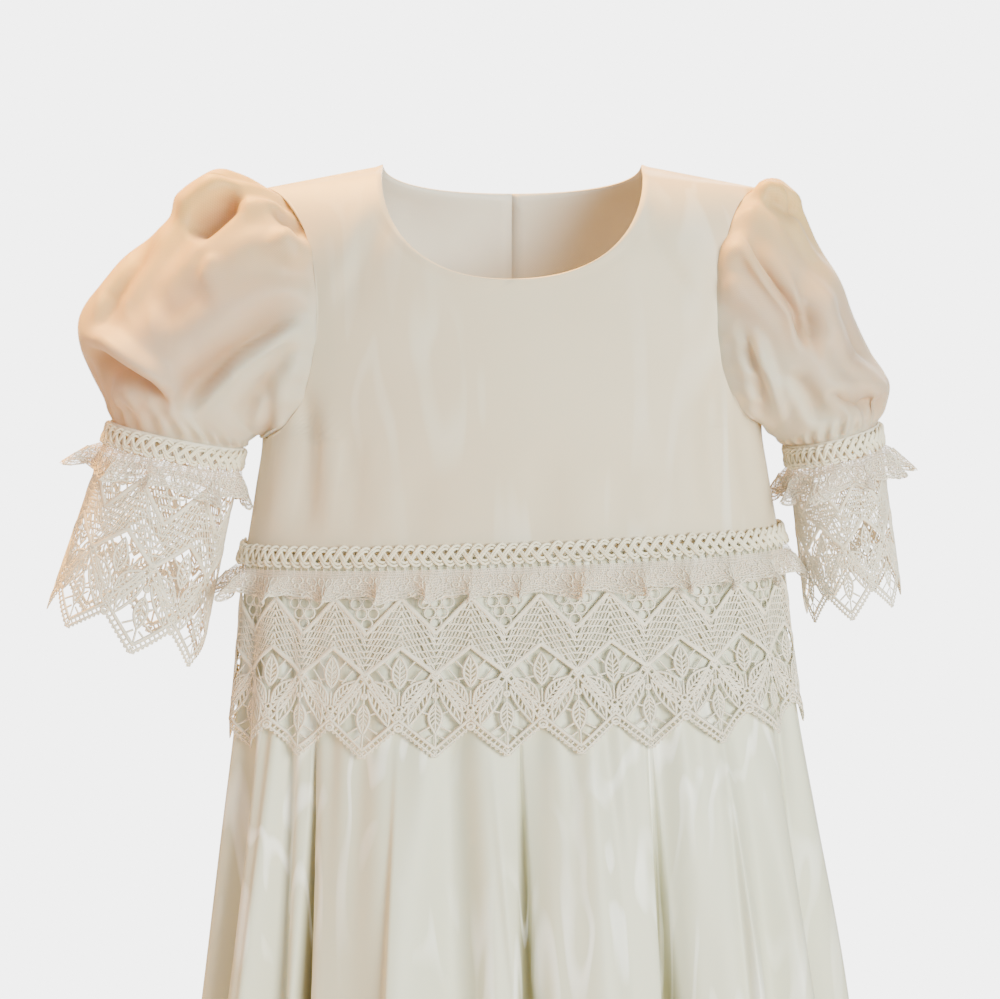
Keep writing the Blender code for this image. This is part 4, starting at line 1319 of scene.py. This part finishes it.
def makeLace(name, place, repeats, columns, rows, node):
    lay = surfaceGrid(place, columns, rows)
    bm = layRepeats(laceRepeat(), lace["width"], lace["depth"], repeats, lace["flatness"], lay,
                    cut["lace"] / 2)
    return stitchTrim(name, bm, [laceThread], node)


waistLace = makeLace("waistLace", waistRing(-cut["gap"], 0.0867, cut["rest"], 0.0012),
                     lace["waistRepeats"], 560, 16, "waist_lace")
for hand, arm in arms.items():
    place = cuffRing(arm, cut["gap"], arm["length"] - cut["gap"], 0.0, 0.0, arm["droop"])
    cuff = makeLace("cuffLace" + hand.capitalize(), place, lace["cuffRepeats"], 200, 24,
                    "cuff_lace_" + hand)
print("lace made")


# Gimp braid: a flat plait of doubled cords.
braid = {
    "width": 0.0105, "period": 0.0145, "strands": 3, "swing": 0.0036, "rise": 0.00060,
    "radius": 0.00062, "apart": 0.0014, "pointsPerPeriod": 14, "wander": 0.0009,
}


def makeBraid(name, place, node):
    length = ringLength(place, 0.5)
    periods = round(length / braid["period"])
    steps = periods * braid["pointsPerPeriod"]
    lay = surfaceGrid(place, 360, 6)
    across = np.arange(steps) / steps
    paths = []
    for strand in range(braid["strands"]):
        angle = 2 * pi * (across * periods + strand / braid["strands"])
        stir = np.array([noise.noise(Vector((3 * cos(2 * pi * a) * 6, 3 * sin(2 * pi * a) * 6,
                                             strand))) for a in across]) * braid["wander"]
        for twin in (-0.5, 0.5):
            out = braid["swing"] * np.sin(angle) + twin * braid["apart"] + stir
            lift = braid["rise"] * np.sin(2 * angle) + 0.0001 * twin
            spots = lay(across, 0.5 + out / braid["width"], lift + cut["braid"] / 2)
            paths.append((spots, braid["radius"], True))
    return stitchTrim(name, bmeshOf(threadMesh(paths, 6)), [gimpCord], node)


waistBraid = makeBraid("waistBraid", waistRing(0.004, braid["width"], 0.0003, 0.0027),
                       "waist_braid")
for hand, arm in arms.items():
    place = cuffRing(arm, 2 * cut["gap"], braid["width"], cut["rest"])
    strip = makeBraid("cuffBraid" + hand.capitalize(), place, "cuff_braid_" + hand)
print("braid made")


# Gathered lace: a frill of fine net with a corded, scalloped edge.
frill = {
    "depth": 0.0130, "swing": 0.0048, "sway": 0.22, "dip": 0.16, "tile": 7.6,
    "tileDepth": 13.0, "thread": 0.62, "flatness": 0.9, "waistWaves": 27, "cuffWaves": 9,
    "rows": 7, "columnsPerWave": 16, "lift": 0.00025,
}


def frillRing(place, waves):
    # the ring's lower edge swings in and out in uneven waves
    def swung(across, up):
        angle = 2 * pi * across
        uneven = 1 + 0.35 * sin(3 * angle + 1) + 0.3 * sin(7 * angle)
        phase = waves * angle + 0.9 * sin(5 * angle) + 0.5 * (1 - up)
        out = frill["swing"] * (1 + sin(phase)) * uneven * (1 - up) ** 0.8
        across = (across + frill["sway"] * cos(phase) * (1 - up) / waves) % 1
        up -= frill["dip"] * sin(phase + 1.2 * sin(4 * angle)) * (1 - up)
        point = place(across, up)
        ahead = place((across + 0.002) % 1, up)
        above = place(across, up + 0.2) if up < 0.8 else 2 * point - place(across, up - 0.2)
        outward = (ahead - point).cross(above - point).normalized()
        return point + outward * out

    return swung


def frillRepeat():
    thread, depth, half = frill["thread"] / 2, frill["tileDepth"], frill["tile"] / 2
    edge = [(half * t / 4, depth - 1.6 * (abs(t) / 4) ** 2) for t in range(-4, 5)]
    inner = [(half * 0.98 * t / 4, depth - 1.7 - 1.6 * (abs(t) / 4) ** 2) for t in range(-4, 5)]
    paths = [(edge, thread * 1.6, False), (inner, thread, False)]
    ring = [(1.25 * cos(a * pi / 4), depth - 5.4 + 1.25 * sin(a * pi / 4)) for a in range(8)]
    paths.append((ring, thread * 1.2, True))
    for sign in (-1, 1):
        petal = [(sign * (1.5 + 1.5 * sin(pi * t / 3)), depth - 6.6 - 1.1 * t) for t in range(4)]
        paths.append((petal, thread * 1.3, False))
        bar = [(sign * x, depth - 4.3 + x * 0.4) for x in (0.9, 2.2, 3.4)]
        paths.append((bar, thread, False))
        paths.append(([(sign * half * 0.5, depth - 1.9), (sign * half * 0.5, depth - 0.6)],
                      thread, False))
    return threadMesh(paths, 4)


def makeFrill(name, place, waves, node):
    columns = waves * frill["columnsPerWave"]
    swung = frillRing(place, waves)
    length = ringLength(swung, 0.2)
    repeats = round(length * 1000 / frill["tile"])
    bm = sheetOf(columns, frill["rows"], (length, frill["depth"]), swung)
    lay = surfaceGrid(swung, columns, frill["rows"])
    threads = layRepeats(frillRepeat(), frill["tile"], frill["tileDepth"], repeats,
                         frill["flatness"], lay, frill["lift"])
    joinMesh(bm, meshOf(threads), 1)
    return stitchTrim(name, bm, [netting, laceThread], node)


place = waistRing(0.004 - braid["width"] - cut["gap"], frill["depth"],
                  2 * cut["rest"] + cut["lace"] + 0.0016)
waistFrill = makeFrill("waistRuffle", place, frill["waistWaves"], "waist_ruffle")
for hand, arm in arms.items():
    place = cuffRing(arm, 0.010 + 3 * cut["gap"], frill["depth"], cut["rest"] + 0.0014)
    edging = makeFrill("cuffRuffle" + hand.capitalize(), place, frill["cuffWaves"],
                       "cuff_ruffle_" + hand)
print("ruffles made")


# The studio: a pale floor that fades into white air, soft lights and the camera, in metres.
studio = {
    "floorDrop": 0.04, "floorSize": 6.0, "floorColour": (0.90, 0.89, 0.87),
    "fadeStart": 0.55, "fadeEnd": 1.35, "white": 5.2, "fill": 0.40,
    # name, place, aim, width, height, watts, colour
    "lights": [
        ("frontSoftbox", (1.15, -1.9, 0.20), (0.0, 0.0, -0.20), 1.0, 1.0, 98.0,
         (0.96, 1.0, 0.92)),
        ("backSoftbox", (0.5, 2.0, 0.3), (0.0, 0.0, -0.35), 1.4, 1.4, 60.0, (1.0, 0.98, 0.93)),
        ("warmOverhead", (-0.35, 0.30, 0.90), (-0.04, 0.0, -0.10), 0.5, 0.5, 80.0,
         (1.0, 0.53, 0.12)),
        ("warmLeft", (-1.5, -0.10, 0.15), (-0.1, 0.0, -0.25), 0.6, 1.0, 14.0, (1.0, 0.50, 0.18)),
    ],
    "aim": (-0.0054, 0.0, -0.1494), "distance": 1.3, "elevation": 5.0, "lens": 104.0,
}


def makeFloor():
    bm = bmesh.new()
    bmesh.ops.create_circle(bm, cap_ends=True, radius=studio["floorSize"] / 2, segments=96)
    for vert in bm.verts:
        vert.co.z = cadLow.z - studio["floorDrop"]
    floor = placed("studioFloor", meshOf(bm))
    look, tree, shader, place, _ = newLook("studioPaper", 0.8, {})
    pale = studio["floorColour"]
    base = mixColour(tree, scaled(tree, driftMask(tree, place, 3.0), 0.25), pale,
                     tuple(c * 0.97 for c in pale))
    tree.links.new(base, shader.inputs["Base Color"])
    flat = addNode(tree, "ShaderNodeMapping", {"Vector": place})
    flat.inputs["Scale"].default_value = (1, 1, 0)
    reach = addNode(tree, "ShaderNodeVectorMath", {0: flat.outputs[0]}, operation="LENGTH")
    fade = ranged(tree, reach.outputs["Value"], studio["fadeStart"], studio["fadeEnd"], 1.0, 0.0,
                  interpolation_type="SMOOTHSTEP")
    tree.links.new(fade, shader.inputs["Alpha"])
    floor.data.materials.append(look)


def makeLight(name, place, aim, width, height, watts, colour):
    lamp = bpy.data.lights.new(name, "AREA")
    lamp.shape, lamp.size, lamp.size_y = "RECTANGLE", width, height
    lamp.energy, lamp.color = watts, colour
    holder = placed(name, lamp)
    holder.location = place
    holder.rotation_euler = (Vector(aim) - Vector(place)).to_track_quat("-Z", "Y").to_euler()


def makeWorld():
    # bright air behind the gown, a weaker fill for what lights it
    world = bpy.data.worlds.new("studioAir")
    world.use_nodes = True
    bpy.context.scene.world = world
    tree = world.node_tree
    back = tree.nodes["Background"]
    back.inputs["Color"].default_value = (1, 1, 1, 1)
    seen = addNode(tree, "ShaderNodeLightPath").outputs["Is Camera Ray"]
    level = scaled(tree, seen, studio["white"] - studio["fill"], studio["fill"])
    tree.links.new(level, back.inputs["Strength"])


def makeCamera():
    lens = bpy.data.cameras.new("camera")
    lens.lens, lens.sensor_width = studio["lens"], 36.0
    camera = placed("camera", lens)
    tilt = radians(studio["elevation"])
    back = Vector((0, -cos(tilt), sin(tilt)))
    camera.location = Vector(studio["aim"]) + back * studio["distance"]
    camera.rotation_euler = (pi / 2 - tilt, 0, 0)
    bpy.context.scene.camera = camera


makeFloor()
for light in studio["lights"]:
    makeLight(*light)
makeWorld()
makeCamera()
print("studio made")
